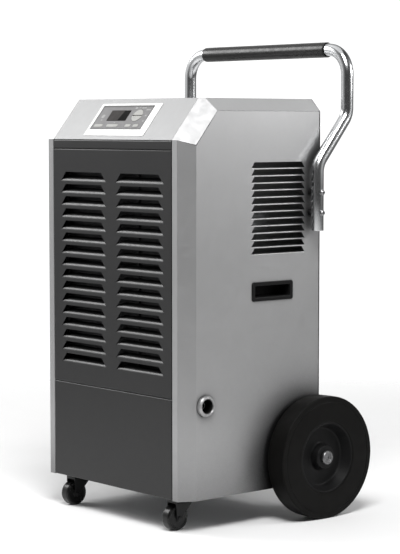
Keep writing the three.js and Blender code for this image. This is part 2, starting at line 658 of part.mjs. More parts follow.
// ---------------------------------------------------------------- fan
function fan() {
  const { z, radius, wall, blades: count, pitch, shaftR } = FAN;
  const half = BODY.halfW - SHEET - 1;
  const board = box(-half + 12, half - 12, wall, wall + SHEET, DECK + 3, 868)
    .subtract(rod("y", wall - 9, wall + 9, radius + 4, [0, 0, z], 28));
  const pipeHoles = [DISCHARGE, SUCTION].map((pipe) =>
    rod("y", wall - 9, wall + 9, pipe.r + 3.2, [pipe.x, 0, pipe.z], 10));
  const ring = rod("y", wall, wall + 34, radius + 6, [0, 0, z], 28)
    .subtract(rod("y", wall - 9, wall + 60, radius + 4, [0, 0, z], 28));
  add("fan_housing", board.add(ring).subtract(union(pipeHoles)), finish.zinc());

  const blade = extruded(outline([[34, -26], [radius - 2, -44], [radius - 2, 40], [34, 24]]), 2)
    .rotate([pitch, 0, 0]);
  const upright = turn(blade, [1, 0, 0, 0, 0, 1, 0, -1, 0], [0, wall + 17, 0]);
  const hub = rod("y", wall + 4, wall + 30, 40, [0, 0, 0], 24);
  const blades = Array.from({ length: count }, (_, i) => upright.rotate([0, (i * 360) / count, 0]));
  const trimmed = union([hub, ...blades])
    .intersect(rod("y", wall + 3, wall + 33, radius, [0, 0, 0], 28))
    .subtract(rod("y", wall, wall + 60, shaftR + 0.4, [0, 0, 0], 16));
  add("fan_impeller", trimmed.translate([0, 0, z]), finish.black());

  const motor = rod("y", wall + 44, wall + 116, 46, [0, 0, z], 24)
    .add(rod("y", wall + 8, wall + 45, shaftR, [0, 0, z], 16));
  add("fan_motor", motor, finish.steel());
  const back = wall + 116 + GAP;
  const [legIn, legOut] = [173, 176];
  const bar = box(-legOut, legOut, back, back + 3, z - 18, z + 18);
  const leg = box(legIn, legOut, wall + SHEET + GAP, back + 1, z - 18, z + 18);
  add("motor_bracket", union([bar, leg, mirrored(leg)]), finish.zinc());
}

// ---------------------------------------------------------------- control console on the slope
// Its group's axes: x across the slope, y up the slope, z out of it.
function consoleGroup() {
  const group = new THREE.Group();
  group.position.set(0, 0, SLOPE.foot);
  group.rotation.x = Math.atan(slopeRise);
  machine.add(group);
  return group;
}

// Half of the round pair of up and down keys; "up" is +1 or -1.
function halfDisc(up, radius) {
  const shape = new THREE.Shape();
  const start = up > 0 ? 0 : Math.PI;
  const cut = DIAL.slot / 2;
  const angle = Math.asin(cut / radius);
  shape.absarc(0, 0, radius, start + angle, start + Math.PI - angle);
  shape.closePath();
  return extruded(shape, KEY.thick, 12).translate([DIAL.x, DIAL.y, KEY.low]);
}

// A flat-topped pyramid with a pocket for the face.
function bezel() {
  const { outerW, outerH, faceW, faceH, centre, faceCentre, height, pocketFloor } = CONSOLE;
  const rim = (w, h, y, z) =>
    [[-w / 2, y - h / 2, z], [w / 2, y - h / 2, z], [w / 2, y + h / 2, z], [-w / 2, y + h / 2, z]];
  const base = rim(outerW, outerH, centre, GAP);
  const crown = rim(faceW + 6, faceH + 5, faceCentre, GAP + height);
  const quads = [[3, 2, 1, 0], [4, 5, 6, 7], [0, 1, 5, 4], [1, 2, 6, 5], [2, 3, 7, 6], [3, 0, 4, 7]];
  const geometry = new THREE.BufferGeometry();
  const positions = new Float32Array([...base, ...crown].flat());
  geometry.setAttribute("position", new THREE.BufferAttribute(positions, 3));
  geometry.setIndex(quads.flatMap(([a, b, c, d]) => [a, b, c, a, c, d]));
  const [halfW, halfH] = [faceW / 2 + 0.4, faceH / 2 + 0.4];
  const pocket = box(-halfW, halfW, faceCentre - halfH, faceCentre + halfH, pocketFloor, height + 4);
  return toManifold(geometry).subtract(pocket);
}

// The grey face, with a window for the display and one for each key.
function controlFace() {
  const { faceW, faceH, faceCentre, pocketFloor } = CONSOLE;
  const hole = ({ w, h, x, y }, radius) =>
    extruded(roundedRectangle(w + 0.8, h + 0.8, radius, x, y), 12, 3).translate([0, 0, -2]);
  const plate = extruded(roundedRectangle(faceW, faceH, 1.5, 0, faceCentre), 2.6)
    .translate([0, 0, pocketFloor + GAP]);
  const dial = rod("z", -2, 12, DIAL.r + 0.5, [DIAL.x, DIAL.y, 0], 28);
  return plate.subtract(union([hole(DISPLAY, 1.4), ...KEYS.map((key) => hole(key, 2.4)), dial]));
}

function controlConsole() {
  const group = consoleGroup();
  add("control_bezel", bezel(), finish.white(), group);
  add("control_face", controlFace(), finish.grey(), group);

  const glass = extruded(roundedRectangle(DISPLAY.w, DISPLAY.h, 1, DISPLAY.x, DISPLAY.y), 2.9)
    .translate([0, 0, CONSOLE.pocketFloor + GAP]);
  add("display_window", glass, finish.glass(), group);
  for (const { name, w, h, x, y } of KEYS) {
    const key = extruded(roundedRectangle(w, h, 2, x, y), KEY.thick).translate([0, 0, KEY.low]);
    add(name, key, finish.keys(), group);
  }
  for (const [name, up] of [["key_up", 1], ["key_down", -1]]) {
    add(name, halfDisc(up, DIAL.r), finish.keys(), group);
  }

  const board = box(-80, 80, 30, 82, -12, -10).add(box(-46, 14, 44, 78, -10.5, -5));
  add("control_board", board, finish.board(), group);
}

// ---------------------------------------------------------------- wheels and axle
function wheels() {
  const { radius, width, inner, sides, hubR, y, z } = WHEEL;
  const outer = inner + width;
  const facet = Math.PI / sides;
  const tyre = turnedX([
    [hubR + GAP, inner], [radius - 6, inner], [radius, inner + 5], [radius, outer - 3],
    [radius - 3, outer], [hubR + GAP, outer],
  ], sides, [0, y, z], facet);
  const hub = turnedX([
    [AXLE_R + 0.5, inner + 0.5], [hubR, inner + 0.5], [hubR, outer - 0.5], [hubR - 3, outer - 0.5],
    [hubR - 14, outer - 26], [28, outer - 26], [25, outer - 5], [AXLE_R + 0.5, outer - 5],
  ], sides, [0, y, z], facet);
  const dome = [[0, outer - 4.5], [15, outer - 4.5], [15, outer - 0.5], [11.5, outer + 3], [0, outer + 3]];
  const cap = turnedX(dome, 18, [0, y, z]);
  const socket = rod("x", outer - 6, outer - 1.6, AXLE_R + GAP, [0, y, z], 20)
    .add(rod("x", outer, outer + 10, 6, [0, y, z], 6));
  for (const [side, sign] of SIDES) {
    add(`tyre_${side}`, onSide(tyre, sign), finish.rubber());
    add(`wheel_hub_${side}`, onSide(hub, sign), finish.black());
    add(`axle_cap_${side}`, onSide(cap.subtract(socket), sign), finish.chrome());
  }
  const shaft = rod("x", -outer + 2, outer - 2, AXLE_R, [0, y, z], 16);
  const stop = rod("x", BODY.halfW + 2, inner - 1, AXLE_R + 5, [0, y, z], 16);
  add("wheel_axle", union([shaft, stop, mirrored(stop)]), finish.steel());
}

// ---------------------------------------------------------------- front casters
function casterFork() {
  const half = CASTER.width / 2;
  const [wheelY, swivelY, z] = [CASTER.wheelY, CASTER.swivelY, CASTER.z];
  const cheek = outline([
    [swivelY + 23, 66], [swivelY - 21, 66], [swivelY - 21, 56], [wheelY - 6, z + 3], [wheelY - 4, z - 5],
    [wheelY + 5, z - 6], [wheelY + 9, z + 4], [swivelY + 20, 54],
  ]);
  const cheeks = [-half - 3.4, half + 1.2].map((x) => alongX(cheek, 2.2, x));
  const crown = box(-half - 3.4, half + 3.4, swivelY - 21, swivelY + 23, 58, 67.2);
  const pin = rod("x", -half - 3.4, half + 3.4, 3, [0, wheelY, z], 12);
  const well = rod("z", 62, 70, 6.5, [0, swivelY, 0], 16);
  return union([...cheeks, crown, pin]).subtract(well);
}

function casters() {
  const half = CASTER.width / 2;
  const wheel = turnedX([
    [3.4, -half], [CASTER.radius - 2, -half], [CASTER.radius, -half + 2], [CASTER.radius, half - 2],
    [CASTER.radius - 2, half], [3.4, half],
  ], CASTER.sides, [0, CASTER.wheelY, CASTER.z], Math.PI / CASTER.sides);
  const plate = box(-24, 24, CASTER.swivelY - 23, CASTER.swivelY + 23, 67.6, 70.1)
    .add(rod("z", 63, 69, 6, [0, CASTER.swivelY, 0], 16));
  for (const [side, sign] of SIDES) {
    const at = [sign * CASTER.x, 0, 0];
    add(`caster_plate_${side}`, plate.translate(at), finish.black());
    add(`caster_fork_${side}`, casterFork().translate(at), finish.black());
    add(`caster_wheel_${side}`, wheel.translate(at), finish.rubber());
  }
}

// ---------------------------------------------------------------- push handle
function handle() {
  const { tubeR, x, legY, barY, foot, kneeLow, kneeHigh, barZ } = HANDLE;
  const { kneeR, cornerR, gripHalf, gripR, boltZ } = HANDLE;
  const leg = (sign) => [
    { at: point(sign * x, legY, foot) },
    { at: point(sign * x, legY, kneeLow), bend: kneeR },
    { at: point(sign * x, barY, kneeHigh), bend: kneeR },
    { at: point(sign * x, barY, barZ), bend: cornerR },
  ];
  let tube = bentTube([...leg(-1), ...leg(1).reverse()], tubeR, 12, 18);
  for (const z of boltZ) tube = tube.subtract(rod("x", -300, 300, 4.5, [0, legY, z], 8));
  add("handle_tube", tube, finish.chrome());

  const gripIn = tubeR + GAP;
  const foam = [[gripIn, -gripHalf], [gripR, -gripHalf], [gripR, gripHalf], [gripIn, gripHalf]];
  add("handle_grip", turnedX(foam, 24, [0, barY, barZ]), finish.rubber());

  const wallFace = BODY.halfW + GAP;
  const tubeFace = x - tubeR;
  const cone = [[4.5, wallFace], [10, wallFace], [8.5, tubeFace - GAP], [4.5, tubeFace - GAP]];
  const spacer = turnedX(cone, 12, [0, legY, 0]);
  const seat = x + tubeR + GAP;
  const dome = [[0, seat], [7.5, seat], [7.5, seat + 1.5], [5, seat + 4.5], [0, seat + 5]];
  const bolt = rod("x", BODY.halfW - 12, seat + 1, 4, [0, legY, 0], 8)
    .add(turnedX(dome, 12, [0, legY, 0]));
  for (const [side, sign] of SIDES) {
    boltZ.forEach((z, i) => {
      add(`handle_bolt_${side}_${i + 1}`, onSide(bolt.translate([0, 0, z]), sign), finish.steel());
      add(`handle_spacer_${side}_${i + 1}`, onSide(spacer.translate([0, 0, z]), sign), finish.black());
    });
  }
}

cabinet();
sideFittings();
tankDrawer();
refrigeration();
fan();
controlConsole();
wheels();
casters();
handle();
machine.position.y = -DEPTH / 2; // the footprint's centre is the origin

export default machine;
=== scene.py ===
"""Commercial dehumidifier on two big wheels and two casters: its looks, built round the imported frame."""
import json
import math

import bmesh
import bpy
from mathutils import Matrix, Vector


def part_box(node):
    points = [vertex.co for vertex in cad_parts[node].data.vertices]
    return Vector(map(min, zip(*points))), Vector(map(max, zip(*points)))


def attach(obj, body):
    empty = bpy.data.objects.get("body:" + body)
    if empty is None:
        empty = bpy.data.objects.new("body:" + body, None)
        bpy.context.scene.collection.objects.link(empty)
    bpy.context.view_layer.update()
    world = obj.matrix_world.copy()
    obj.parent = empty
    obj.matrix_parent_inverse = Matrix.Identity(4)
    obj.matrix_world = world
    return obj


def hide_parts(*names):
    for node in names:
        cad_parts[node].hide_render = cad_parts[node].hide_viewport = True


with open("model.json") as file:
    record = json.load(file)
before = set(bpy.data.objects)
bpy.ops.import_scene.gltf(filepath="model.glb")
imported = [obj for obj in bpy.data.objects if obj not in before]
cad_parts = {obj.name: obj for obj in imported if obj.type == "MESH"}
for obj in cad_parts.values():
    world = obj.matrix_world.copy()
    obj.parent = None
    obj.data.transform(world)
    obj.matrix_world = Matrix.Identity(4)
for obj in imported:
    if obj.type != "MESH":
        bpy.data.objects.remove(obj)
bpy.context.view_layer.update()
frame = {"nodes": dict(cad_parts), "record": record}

MM = 0.001  # every shape below is drawn in millimetres of the row frame, and scaled once, in new_object()
RECORD = frame["record"]
BODY_OF = {node: body for body, nodes in RECORD["behaviour"]["bodies"].items() for node in nodes}
SLOT_OF = {part["node"]: part["material_slot"] for part in RECORD["subparts"]}


# ------------------------------------------------------------------ sizes, in millimetres
def low(node):
    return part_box(node)[0] / MM


def high(node):
    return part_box(node)[1] / MM


def middle(node):
    return (low(node) + high(node)) / 2


FRONT = low("side_panel_right").y  # plane of the front panels
BACK = high("rear_panel").y
HALF_W = round(high("rear_panel").x, 2)
BOTTOM = low("rear_panel").z
TOP = high("rear_panel").z
SHEET = 1.5
STRIP_IN = low("side_panel_right").x
STRIP_OUT = 222.5
BEVEL_BACK = FRONT + 36
SLOPE_FOOT = 816.0
SLOPE_DEPTH = 71.5
SLOPE_TURN = math.atan2(TOP - SLOPE_FOOT, SLOPE_DEPTH)
CORNER_FOOT = low("top_cover").z
EAVE = 876.5
EAVE_FRONT = FRONT + 93.5  # where the eave meets the sloping corner
CLEAR = 0.45  # gap under the top cover

FRONT_LOUVRE = dict(
    rows=16, columns=(-96, 98), first=723.2, pitch=26.62, foot=163, head=126, height=21.6, bend=60,
)
SIDE_LOUVRE = dict(
    rows=13, columns=(FRONT + 265,), first=754.8, pitch=15.1, foot=156.5, head=137, height=14, bend=84,
)


# ------------------------------------------------------------------ camera and light
CAMERA_AT = (3.16248, -2.70063, 0.84984)  # metres
CAMERA_AZIMUTH, CAMERA_ELEVATION = 49.42, 4.67  # degrees, as seen from the object
CAMERA_LENS = 122.06


def camera():
    data = bpy.data.cameras.new("camera")
    data.lens = CAMERA_LENS
    eye = bpy.data.objects.new("camera", data)
    bpy.context.collection.objects.link(eye)
    azimuth, elevation = math.radians(CAMERA_AZIMUTH), math.radians(CAMERA_ELEVATION)
    reach = math.cos(elevation)
    back = Vector((math.sin(azimuth) * reach, -math.cos(azimuth) * reach, math.sin(elevation)))
    right = Vector((math.cos(azimuth), math.sin(azimuth), 0))
    up = back.cross(right)
    turn = Matrix((right, up, back)).transposed()
    eye.matrix_world = Matrix.Translation(CAMERA_AT) @ turn.to_4x4()
    bpy.context.scene.camera = eye


def softbox(name, at, aim, size, watts):
    light = bpy.data.lights.new(name, "AREA")
    light.shape = "RECTANGLE"
    light.size, light.size_y = size
    light.energy = watts
    lamp = bpy.data.objects.new(name, light)
    bpy.context.collection.objects.link(lamp)
    lamp.location = at
    lamp.rotation_euler = (Vector(aim) - Vector(at)).to_track_quat("-Z", "Y").to_euler()
    return lamp


WORLD_BASE = 0.05  # radiance in every direction
WORLD_LOBES = (  # direction, sharpness, radiance at its middle
    ((-0.757, 0.648, 0.0), 4, 1.12),  # the white background
    ((-0.757, -0.648, 0.0), 5, 0.56),  # mirrored by the front panels
    ((0.757, 0.648, 0.3), 12, 0.66),  # mirrored by the right side
    ((-0.757, -0.206, 0.62), 8, 0.6),  # mirrored by the control slope
)


def studio():
    """A dim room with soft lobes of light at the left, behind and at the right, and four softboxes."""
    world = bpy.data.worlds.new("studio")
    bpy.context.scene.world = world
    world.use_nodes = True
    nodes, links = world.node_tree.nodes, world.node_tree.links
    background = nodes["Background"]
    background.inputs["Color"].default_value = (1, 1, 1, 1)
    where = nodes.new("ShaderNodeTexCoord").outputs["Generated"]

    def math_node(operation, first, second):
        node = nodes.new("ShaderNodeMath")
        node.operation = operation
        for socket, value in zip(node.inputs, (first, second)):
            if isinstance(value, (int, float)):
                socket.default_value = value
            else:
                links.new(value, socket)
        return node.outputs[0]

    total = WORLD_BASE
    for direction, sharpness, radiance in WORLD_LOBES:
        dot = nodes.new("ShaderNodeVectorMath")
        dot.operation = "DOT_PRODUCT"
        links.new(where, dot.inputs[0])
        dot.inputs[1].default_value = Vector(direction).normalized()
        lobe = math_node("POWER", math_node("MAXIMUM", dot.outputs["Value"], 0.0), sharpness)
        total = math_node("ADD", total, math_node("MULTIPLY", lobe, radiance))
    links.new(total, background.inputs["Strength"])

    softbox("key_light", (-2.4, -1.5, 2.3), (0, 0, 0.6), (1.6, 1.6), 62)
    softbox("corner_light", (1.6, -1.25, 3.1), (0.1, -0.2, 0.85), (1.3, 1.3), 110)
    softbox("side_light", (1.3, 1.1, 1.32), (0.24, 0, 0.85), (0.5, 0.5), 11)
    softbox("top_light", (-0.2, -0.2, 3.4), (0, 0, 0), (2.4, 2.4), 13)


FLOOR_R = 2600  # the paper thins out to nothing towards its rim


def floor():
    bm = bmesh.new()
    bmesh.ops.create_circle(bm, cap_ends=True, segments=128, radius=FLOOR_R)
    ground = new_object("studio_floor", bm)
    ground.data.materials.append(paper())


# ------------------------------------------------------------------ node helpers
class Shader:
    """A Principled material whose inputs are fed by small chains of nodes, in object coordinates."""

    def __init__(self, name, colour, roughness, metallic=0.0, **constants):
        self.material = bpy.data.materials.new(name)
        self.material.use_nodes = True
        self.nodes = self.material.node_tree.nodes
        self.links = self.material.node_tree.links
        self.bsdf = self.nodes["Principled BSDF"]
        self.colour = (*colour, 1)
        self.roughness = roughness
        self.bsdf.inputs["Base Color"].default_value = self.colour
        self.bsdf.inputs["Roughness"].default_value = roughness
        self.bsdf.inputs["Metallic"].default_value = metallic
        for socket, value in constants.items():
            self.bsdf.inputs[socket.replace("_", " ")].default_value = value
        self.place = self.nodes.new("ShaderNodeTexCoord").outputs["Object"]
        self.bump = None

    def add(self, kind, **settings):
        node = self.nodes.new(kind)
        for key, value in settings.items():
            setattr(node, key, value)
        return node

    def noise(self, scale, detail=3.0, stretch=(1, 1, 1), rough=0.55):
        mapping = self.add("ShaderNodeMapping")
        mapping.inputs["Scale"].default_value = stretch
        self.links.new(self.place, mapping.inputs["Vector"])
        node = self.add("ShaderNodeTexNoise")
        node.inputs["Scale"].default_value = scale
        node.inputs["Detail"].default_value = detail
        node.inputs["Roughness"].default_value = rough
        self.links.new(mapping.outputs[0], node.inputs["Vector"])
        return node.outputs["Fac"]

    def spread(self, value, to_min, to_max, from_min=0.3, from_max=0.7):
        node = self.add("ShaderNodeMapRange")
        for socket, number in (
            ("From Min", from_min), ("From Max", from_max), ("To Min", to_min), ("To Max", to_max),
        ):
            node.inputs[socket].default_value = number
        self.links.new(value, node.inputs["Value"])
        return node.outputs[0]

    def mix(self, factor, first, second):
        node = self.add("ShaderNodeMix", data_type="RGBA")
        for socket, value in ((node.inputs[6], first), (node.inputs[7], second)):
            if isinstance(value, tuple):
                socket.default_value = (*value[:3], 1)
            else:
                self.links.new(value, socket)
        self.links.new(factor, node.inputs[0])
        return node.outputs[2]

    def vary_colour(self, value, dark, bright):
        """Scales the base colour between two shades as value goes from low to high."""
        shade = [tuple(min(1, c * k) for c in self.colour[:3]) for k in (dark, bright)]
        colour = self.mix(self.spread(value, 0, 1), *shade)
        self.links.new(colour, self.bsdf.inputs["Base Color"])
        return colour

    def vary_roughness(self, value, change):
        amount = self.spread(value, max(0.02, self.roughness - change), min(1, self.roughness + change))
        self.links.new(amount, self.bsdf.inputs["Roughness"])

    def emboss(self, value, height_mm, strength=1.0):
        node = self.add("ShaderNodeBump")
        node.inputs["Strength"].default_value = strength
        node.inputs["Distance"].default_value = height_mm * MM
        self.links.new(value, node.inputs["Height"])
        if self.bump:
            self.links.new(self.bump, node.inputs["Normal"])
        self.bump = node.outputs["Normal"]
        self.links.new(self.bump, self.bsdf.inputs["Normal"])

    def worn_edges(self, colour, worn, radius_mm=1.2, amount=0.6):
        """Lightens the convex edges, broken up by noise."""
        rounded = self.add("ShaderNodeBevel", samples=4)
        rounded.inputs["Radius"].default_value = radius_mm * MM
        flat = self.add("ShaderNodeNewGeometry")
        dot = self.add("ShaderNodeVectorMath", operation="DOT_PRODUCT")
        self.links.new(rounded.outputs[0], dot.inputs[0])
        self.links.new(flat.outputs["Normal"], dot.inputs[1])
        edge = self.spread(dot.outputs["Value"], amount, 0.0, 0.86, 0.985)
        patchy = self.spread(self.noise(160, 4), 0, 1, 0.42, 0.6)
        both = self.add("ShaderNodeMath", operation="MULTIPLY", use_clamp=True)
        self.links.new(edge, both.inputs[0])
        self.links.new(patchy, both.inputs[1])
        self.links.new(self.mix(both.outputs[0], colour, worn), self.bsdf.inputs["Base Color"])


    def painted_contact_shade(self, colour, reach_mm, amount):
        """Darkens the coat close to neighbouring parts: painted shade that stands in for contact shadow."""
        near = self.add("ShaderNodeAmbientOcclusion", samples=8)
        near.inputs["Distance"].default_value = reach_mm * MM
        share = self.spread(near.outputs["AO"], amount, 0.0, 0.35, 0.97)
        colour = self.mix(share, colour, (0.0, 0.0, 0.0))
        self.links.new(colour, self.bsdf.inputs["Base Color"])
        return colour


# ------------------------------------------------------------------ materials
def powder_coat(name, colour, roughness, metallic, grain_mm=0.035, fleck=0.05, painted_contact_shade=None, wear=None,
                **constants):
    """Powder coat: faint cloudiness, an orange-peel surface and fine metallic flecks."""
    s = Shader(name, colour, roughness, metallic, **constants)
    cloud = s.noise(5, 3)
    shade = s.vary_colour(cloud, 1 - fleck, 1 + fleck)
    # Painted shade: the coat is darkened close to neighbouring parts.
    if painted_contact_shade:
        shade = s.painted_contact_shade(shade, *painted_contact_shade)
    if wear:
        s.worn_edges(shade, wear)
    s.vary_roughness(s.noise(70, 4), 0.05)
    s.emboss(s.noise(650, 2), grain_mm, 0.35)
    return s.material


def moulded(name, colour, roughness, grain=900, grain_mm=0.03, **constants):
    """Injection-moulded plastic: a spark-eroded grain, flow marks and a little wear on the edges."""
    s = Shader(name, colour, roughness, 0.0, **constants)
    shade = s.vary_colour(s.noise(14, 4), 0.86, 1.16)
    s.worn_edges(shade, tuple(min(1, c * 2.2 + 0.02) for c in colour), 0.9, 0.4)
    s.vary_roughness(s.noise(45, 4), 0.07)
    s.emboss(s.noise(grain, 2), grain_mm, 0.5)
    return s.material


def rubber(name, colour, roughness, dust, **constants):
    """Moulded rubber: a dry bloom in patches over a fine pitted grain."""
    s = Shader(name, colour, roughness, 0.0, **constants)
    shade = s.vary_colour(s.noise(9, 5), 0.8, 1.25)
    bloom = s.spread(s.noise(22, 6, rough=0.7), 0, 0.18, 0.5, 0.75)
    s.links.new(s.mix(bloom, shade, dust), s.bsdf.inputs["Base Color"])
    s.vary_roughness(s.noise(30, 4), 0.09)
    s.emboss(s.noise(420, 4), 0.05, 0.55)
    return s.material


def foam(name, colour):
    """Closed-cell foam sleeve: small cells under a smooth skin."""
    s = Shader(name, colour, 0.32, 0.0, Specular_IOR_Level=0.42)
    s.vary_colour(s.noise(25, 4), 0.75, 1.3)
    s.vary_roughness(s.noise(60, 4), 0.08)
    cells = s.add("ShaderNodeTexVoronoi")
    cells.inputs["Scale"].default_value = 1100
    s.links.new(s.place, cells.inputs["Vector"])
    s.emboss(cells.outputs["Distance"], 0.05, 0.4)
    s.emboss(s.noise(90, 3), 0.08, 0.4)
    return s.material


def plated(name, colour, roughness):
    """Bright chrome plate over a drawn tube: hairline polishing marks and a few dull patches."""
    s = Shader(name, colour, roughness, 1.0)
    s.vary_colour(s.noise(12, 3), 0.93, 1.03)
    s.vary_roughness(s.noise(18, 5), 0.05)
    s.emboss(s.noise(60, 2), 0.01, 0.12)
    return s.material


def bare_metal(name, colour, roughness, stretch=(1, 1, 1), grain_mm=0.02, spangle=0.1):
    """Bare or galvanised metal: cloudy spangle and a drawn grain."""
    s = Shader(name, colour, roughness, 1.0)
    patches = s.add("ShaderNodeTexVoronoi")
    patches.inputs["Scale"].default_value = 90
    s.links.new(s.place, patches.inputs["Vector"])
    grey = s.add("ShaderNodeRGBToBW")
    s.links.new(patches.outputs["Color"], grey.inputs[0])
    s.vary_colour(grey.outputs[0], 1 - spangle, 1 + spangle)
    s.vary_roughness(s.noise(40, 4), 0.08)
    s.emboss(s.noise(320, 3, stretch), grain_mm, 0.4)
    return s.material


def smoked_window(name):
    """Smoked acrylic over a liquid-crystal panel: faint cloudy reflection, fine scratches."""
    s = Shader(name, (0.035, 0.032, 0.031), 0.4, 0.0, Specular_IOR_Level=0.04)
    s.vary_colour(s.noise(60, 2), 0.85, 1.2)
    s.vary_roughness(s.noise(220, 5, (1, 0.15, 1)), 0.05)
    s.emboss(s.noise(1500, 2), 0.004, 0.2)
    return s.material


def net(name, colour):
    """Woven nylon net: two sets of threads."""
    s = Shader(name, colour, 0.7, 0.0)
    threads = []
    for direction in ("X", "Z"):
        wave = s.add("ShaderNodeTexWave", bands_direction=direction)
        wave.inputs["Scale"].default_value = 160
        wave.inputs["Distortion"].default_value = 0.3
        s.links.new(s.place, wave.inputs["Vector"])
        threads.append(wave.outputs["Fac"])
    both = s.add("ShaderNodeMath", operation="MAXIMUM")
    for thread, socket in zip(threads, both.inputs):
        s.links.new(thread, socket)
    s.vary_colour(both.outputs[0], 0.4, 1.6)
    s.emboss(both.outputs[0], 0.2, 0.6)
    return s.material


def circuit(name):
    s = Shader(name, (0.02, 0.12, 0.05), 0.4, 0.0, Coat_Weight=0.3)
    traces = s.add("ShaderNodeTexBrick")
    traces.inputs["Scale"].default_value = 120
    traces.inputs["Color1"].default_value = (0.02, 0.13, 0.05, 1)
    traces.inputs["Color2"].default_value = (0.03, 0.18, 0.07, 1)
    traces.inputs["Mortar"].default_value = (0.05, 0.26, 0.11, 1)
    s.links.new(s.place, traces.inputs["Vector"])
    s.links.new(traces.outputs["Color"], s.bsdf.inputs["Base Color"])
    s.vary_roughness(s.noise(80, 3), 0.08)
    s.emboss(traces.outputs["Fac"], 0.04, 0.5)
    return s.material


def printed_film(name, colour, roughness, texture_mm=0.012):
    """Screen-printed polyester: an even ink with a very fine texture."""
    s = Shader(name, colour, roughness, 0.0)
    s.vary_colour(s.noise(30, 4), 0.94, 1.06)
    s.vary_roughness(s.noise(120, 3), 0.05)
    s.emboss(s.noise(2200, 2), texture_mm, 0.4)
    return s.material


def paper():
    s = Shader("studio_paper", (0.86, 0.86, 0.86), 0.85, 0.0)
    s.vary_colour(s.noise(2, 3), 0.99, 1.01)
    s.emboss(s.noise(300, 3), 0.05, 0.2)
    reach = s.add("ShaderNodeVectorMath", operation="LENGTH")
    s.links.new(s.place, reach.inputs[0])
    fade = s.spread(reach.outputs["Value"], 1.0, 0.0, 0.85, FLOOR_R * MM - 0.1)
    s.links.new(fade, s.bsdf.inputs["Alpha"])
    return s.material


def make_materials():
    slots = {
        "silver_paint": powder_coat("silver_powder_coat", (0.39, 0.39, 0.393), 0.42, 0.6, fleck=0.03,
                                    # painted shade darkens the silver close to the wheels, the louvres and
                                    # the handle legs
                                    painted_contact_shade=(210, 0.97),
                                    wear=(0.5, 0.5, 0.51)),
        "white_paint": powder_coat("pearl_powder_coat", (0.32, 0.321, 0.323), 0.42, 0.12, fleck=0.02,
                                   wear=(0.8, 0.8, 0.8)),
        "charcoal_paint": powder_coat("charcoal_powder_coat", (0.013, 0.013, 0.0135), 0.36, 0.0,
                                      # painted shade darkens the charcoal panels close to the floor and
                                      # neighbouring parts
                                      fleck=0.06, painted_contact_shade=(500, 1.0), wear=(0.05, 0.05, 0.052),
                                      Specular_IOR_Level=0.42),
        "black_plastic": moulded("black_plastic", (0.006, 0.006, 0.0062), 0.5, Specular_IOR_Level=0.15),
        "tyre_rubber": rubber("tyre_rubber", (0.0042, 0.004, 0.0037), 0.5, (0.009, 0.0087, 0.008),
                              Specular_IOR_Level=0.09),
        "caster_rubber": rubber("caster_rubber", (0.005, 0.005, 0.005), 0.3, (0.01, 0.01, 0.01),
                                Specular_IOR_Level=0.3),
        "foam_grip": foam("foam_grip", (0.005, 0.0048, 0.0045)),
        "bright_chrome": plated("bright_chrome", (0.72, 0.73, 0.74), 0.2),
        "bolt_steel": bare_metal("bolt_steel", (0.3, 0.3, 0.305), 0.4, spangle=0.05),
        "zinc_sheet": bare_metal("zinc_sheet", (0.22, 0.225, 0.23), 0.45, spangle=0.14),
        "black_steel": powder_coat("black_enamel", (0.007, 0.007, 0.0075), 0.4, 0.0,
                                   wear=(0.05, 0.05, 0.05), Specular_IOR_Level=0.25),
        "copper": bare_metal("copper_tube", (0.55, 0.25, 0.14), 0.3, spangle=0.08),
        "coil_fins": bare_metal("coil_fins", (0.6, 0.62, 0.64), 0.35, (1, 1, 20), 0.05, 0.05),
        "white_plastic": moulded("white_plastic", (0.82, 0.82, 0.81), 0.32, 1200, 0.01),
        "grey_film": printed_film("grey_film", (0.12, 0.118, 0.12), 0.45),
        "key_film": printed_film("key_film", (0.3, 0.3, 0.285), 0.45),
        "display_glass": smoked_window("display_glass"),
        "tank_plastic": moulded("tank_plastic", (0.72, 0.76, 0.78), 0.38, 500, 0.03),
        "board_green": circuit("circuit_board"),
        "filter_net": net("filter_net", (0.012, 0.012, 0.013)),
    }
    return slots


# ------------------------------------------------------------------ mesh helpers (millimetres)
def new_object(name, bm, smooth=35):
    """Welds, orients and scales a mesh and puts it in the scene."""
    bmesh.ops.remove_doubles(bm, verts=bm.verts[:], dist=2e-3)
    loose = [f for f in bm.faces if f.calc_area() < 1e-7]
    if loose:
        bmesh.ops.delete(bm, geom=loose, context="FACES_ONLY")
    bmesh.ops.recalc_face_normals(bm, faces=bm.faces[:])
    bm.transform(Matrix.Scale(MM, 4))
    mesh = bpy.data.meshes.new(name)
    bm.to_mesh(mesh)
    bm.free()
    mesh.shade_smooth()
    mesh.set_sharp_from_angle(angle=math.radians(smooth))
    obj = bpy.data.objects.new(name, mesh)
    bpy.context.collection.objects.link(obj)
    return obj


def soften(obj, width_mm, segments=2, angle=32):
    """Rounds an object's sharp edges."""
    bevel = obj.modifiers.new("edges", "BEVEL")
    bevel.width = width_mm * MM
    bevel.segments = segments
    bevel.limit_method = "ANGLE"
    bevel.angle_limit = math.radians(angle)
    bevel.harden_normals = True
    bevel.use_clamp_overlap = True
    return obj


def even(obj):
    """Keeps large flat faces flat in the shading, right up to their rounded edges."""
    normals = obj.modifiers.new("even", "WEIGHTED_NORMAL")
    normals.keep_sharp = True
    normals.weight = 90
    return obj


def stand_for(obj, node, *more, material=None):
    """A finished piece takes a CAD node's place: its body, its slot and its material."""
    slot = SLOT_OF[node]
    obj.data.materials.append(material or MATERIALS[slot])
    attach(obj, BODY_OF[node])
    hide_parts(node, *more)
    return obj


def extra(obj, body, slot, material=None):
    """A finished piece with no CAD node of its own."""
    obj.data.materials.append(material or MATERIALS[slot])
    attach(obj, body)
    return obj


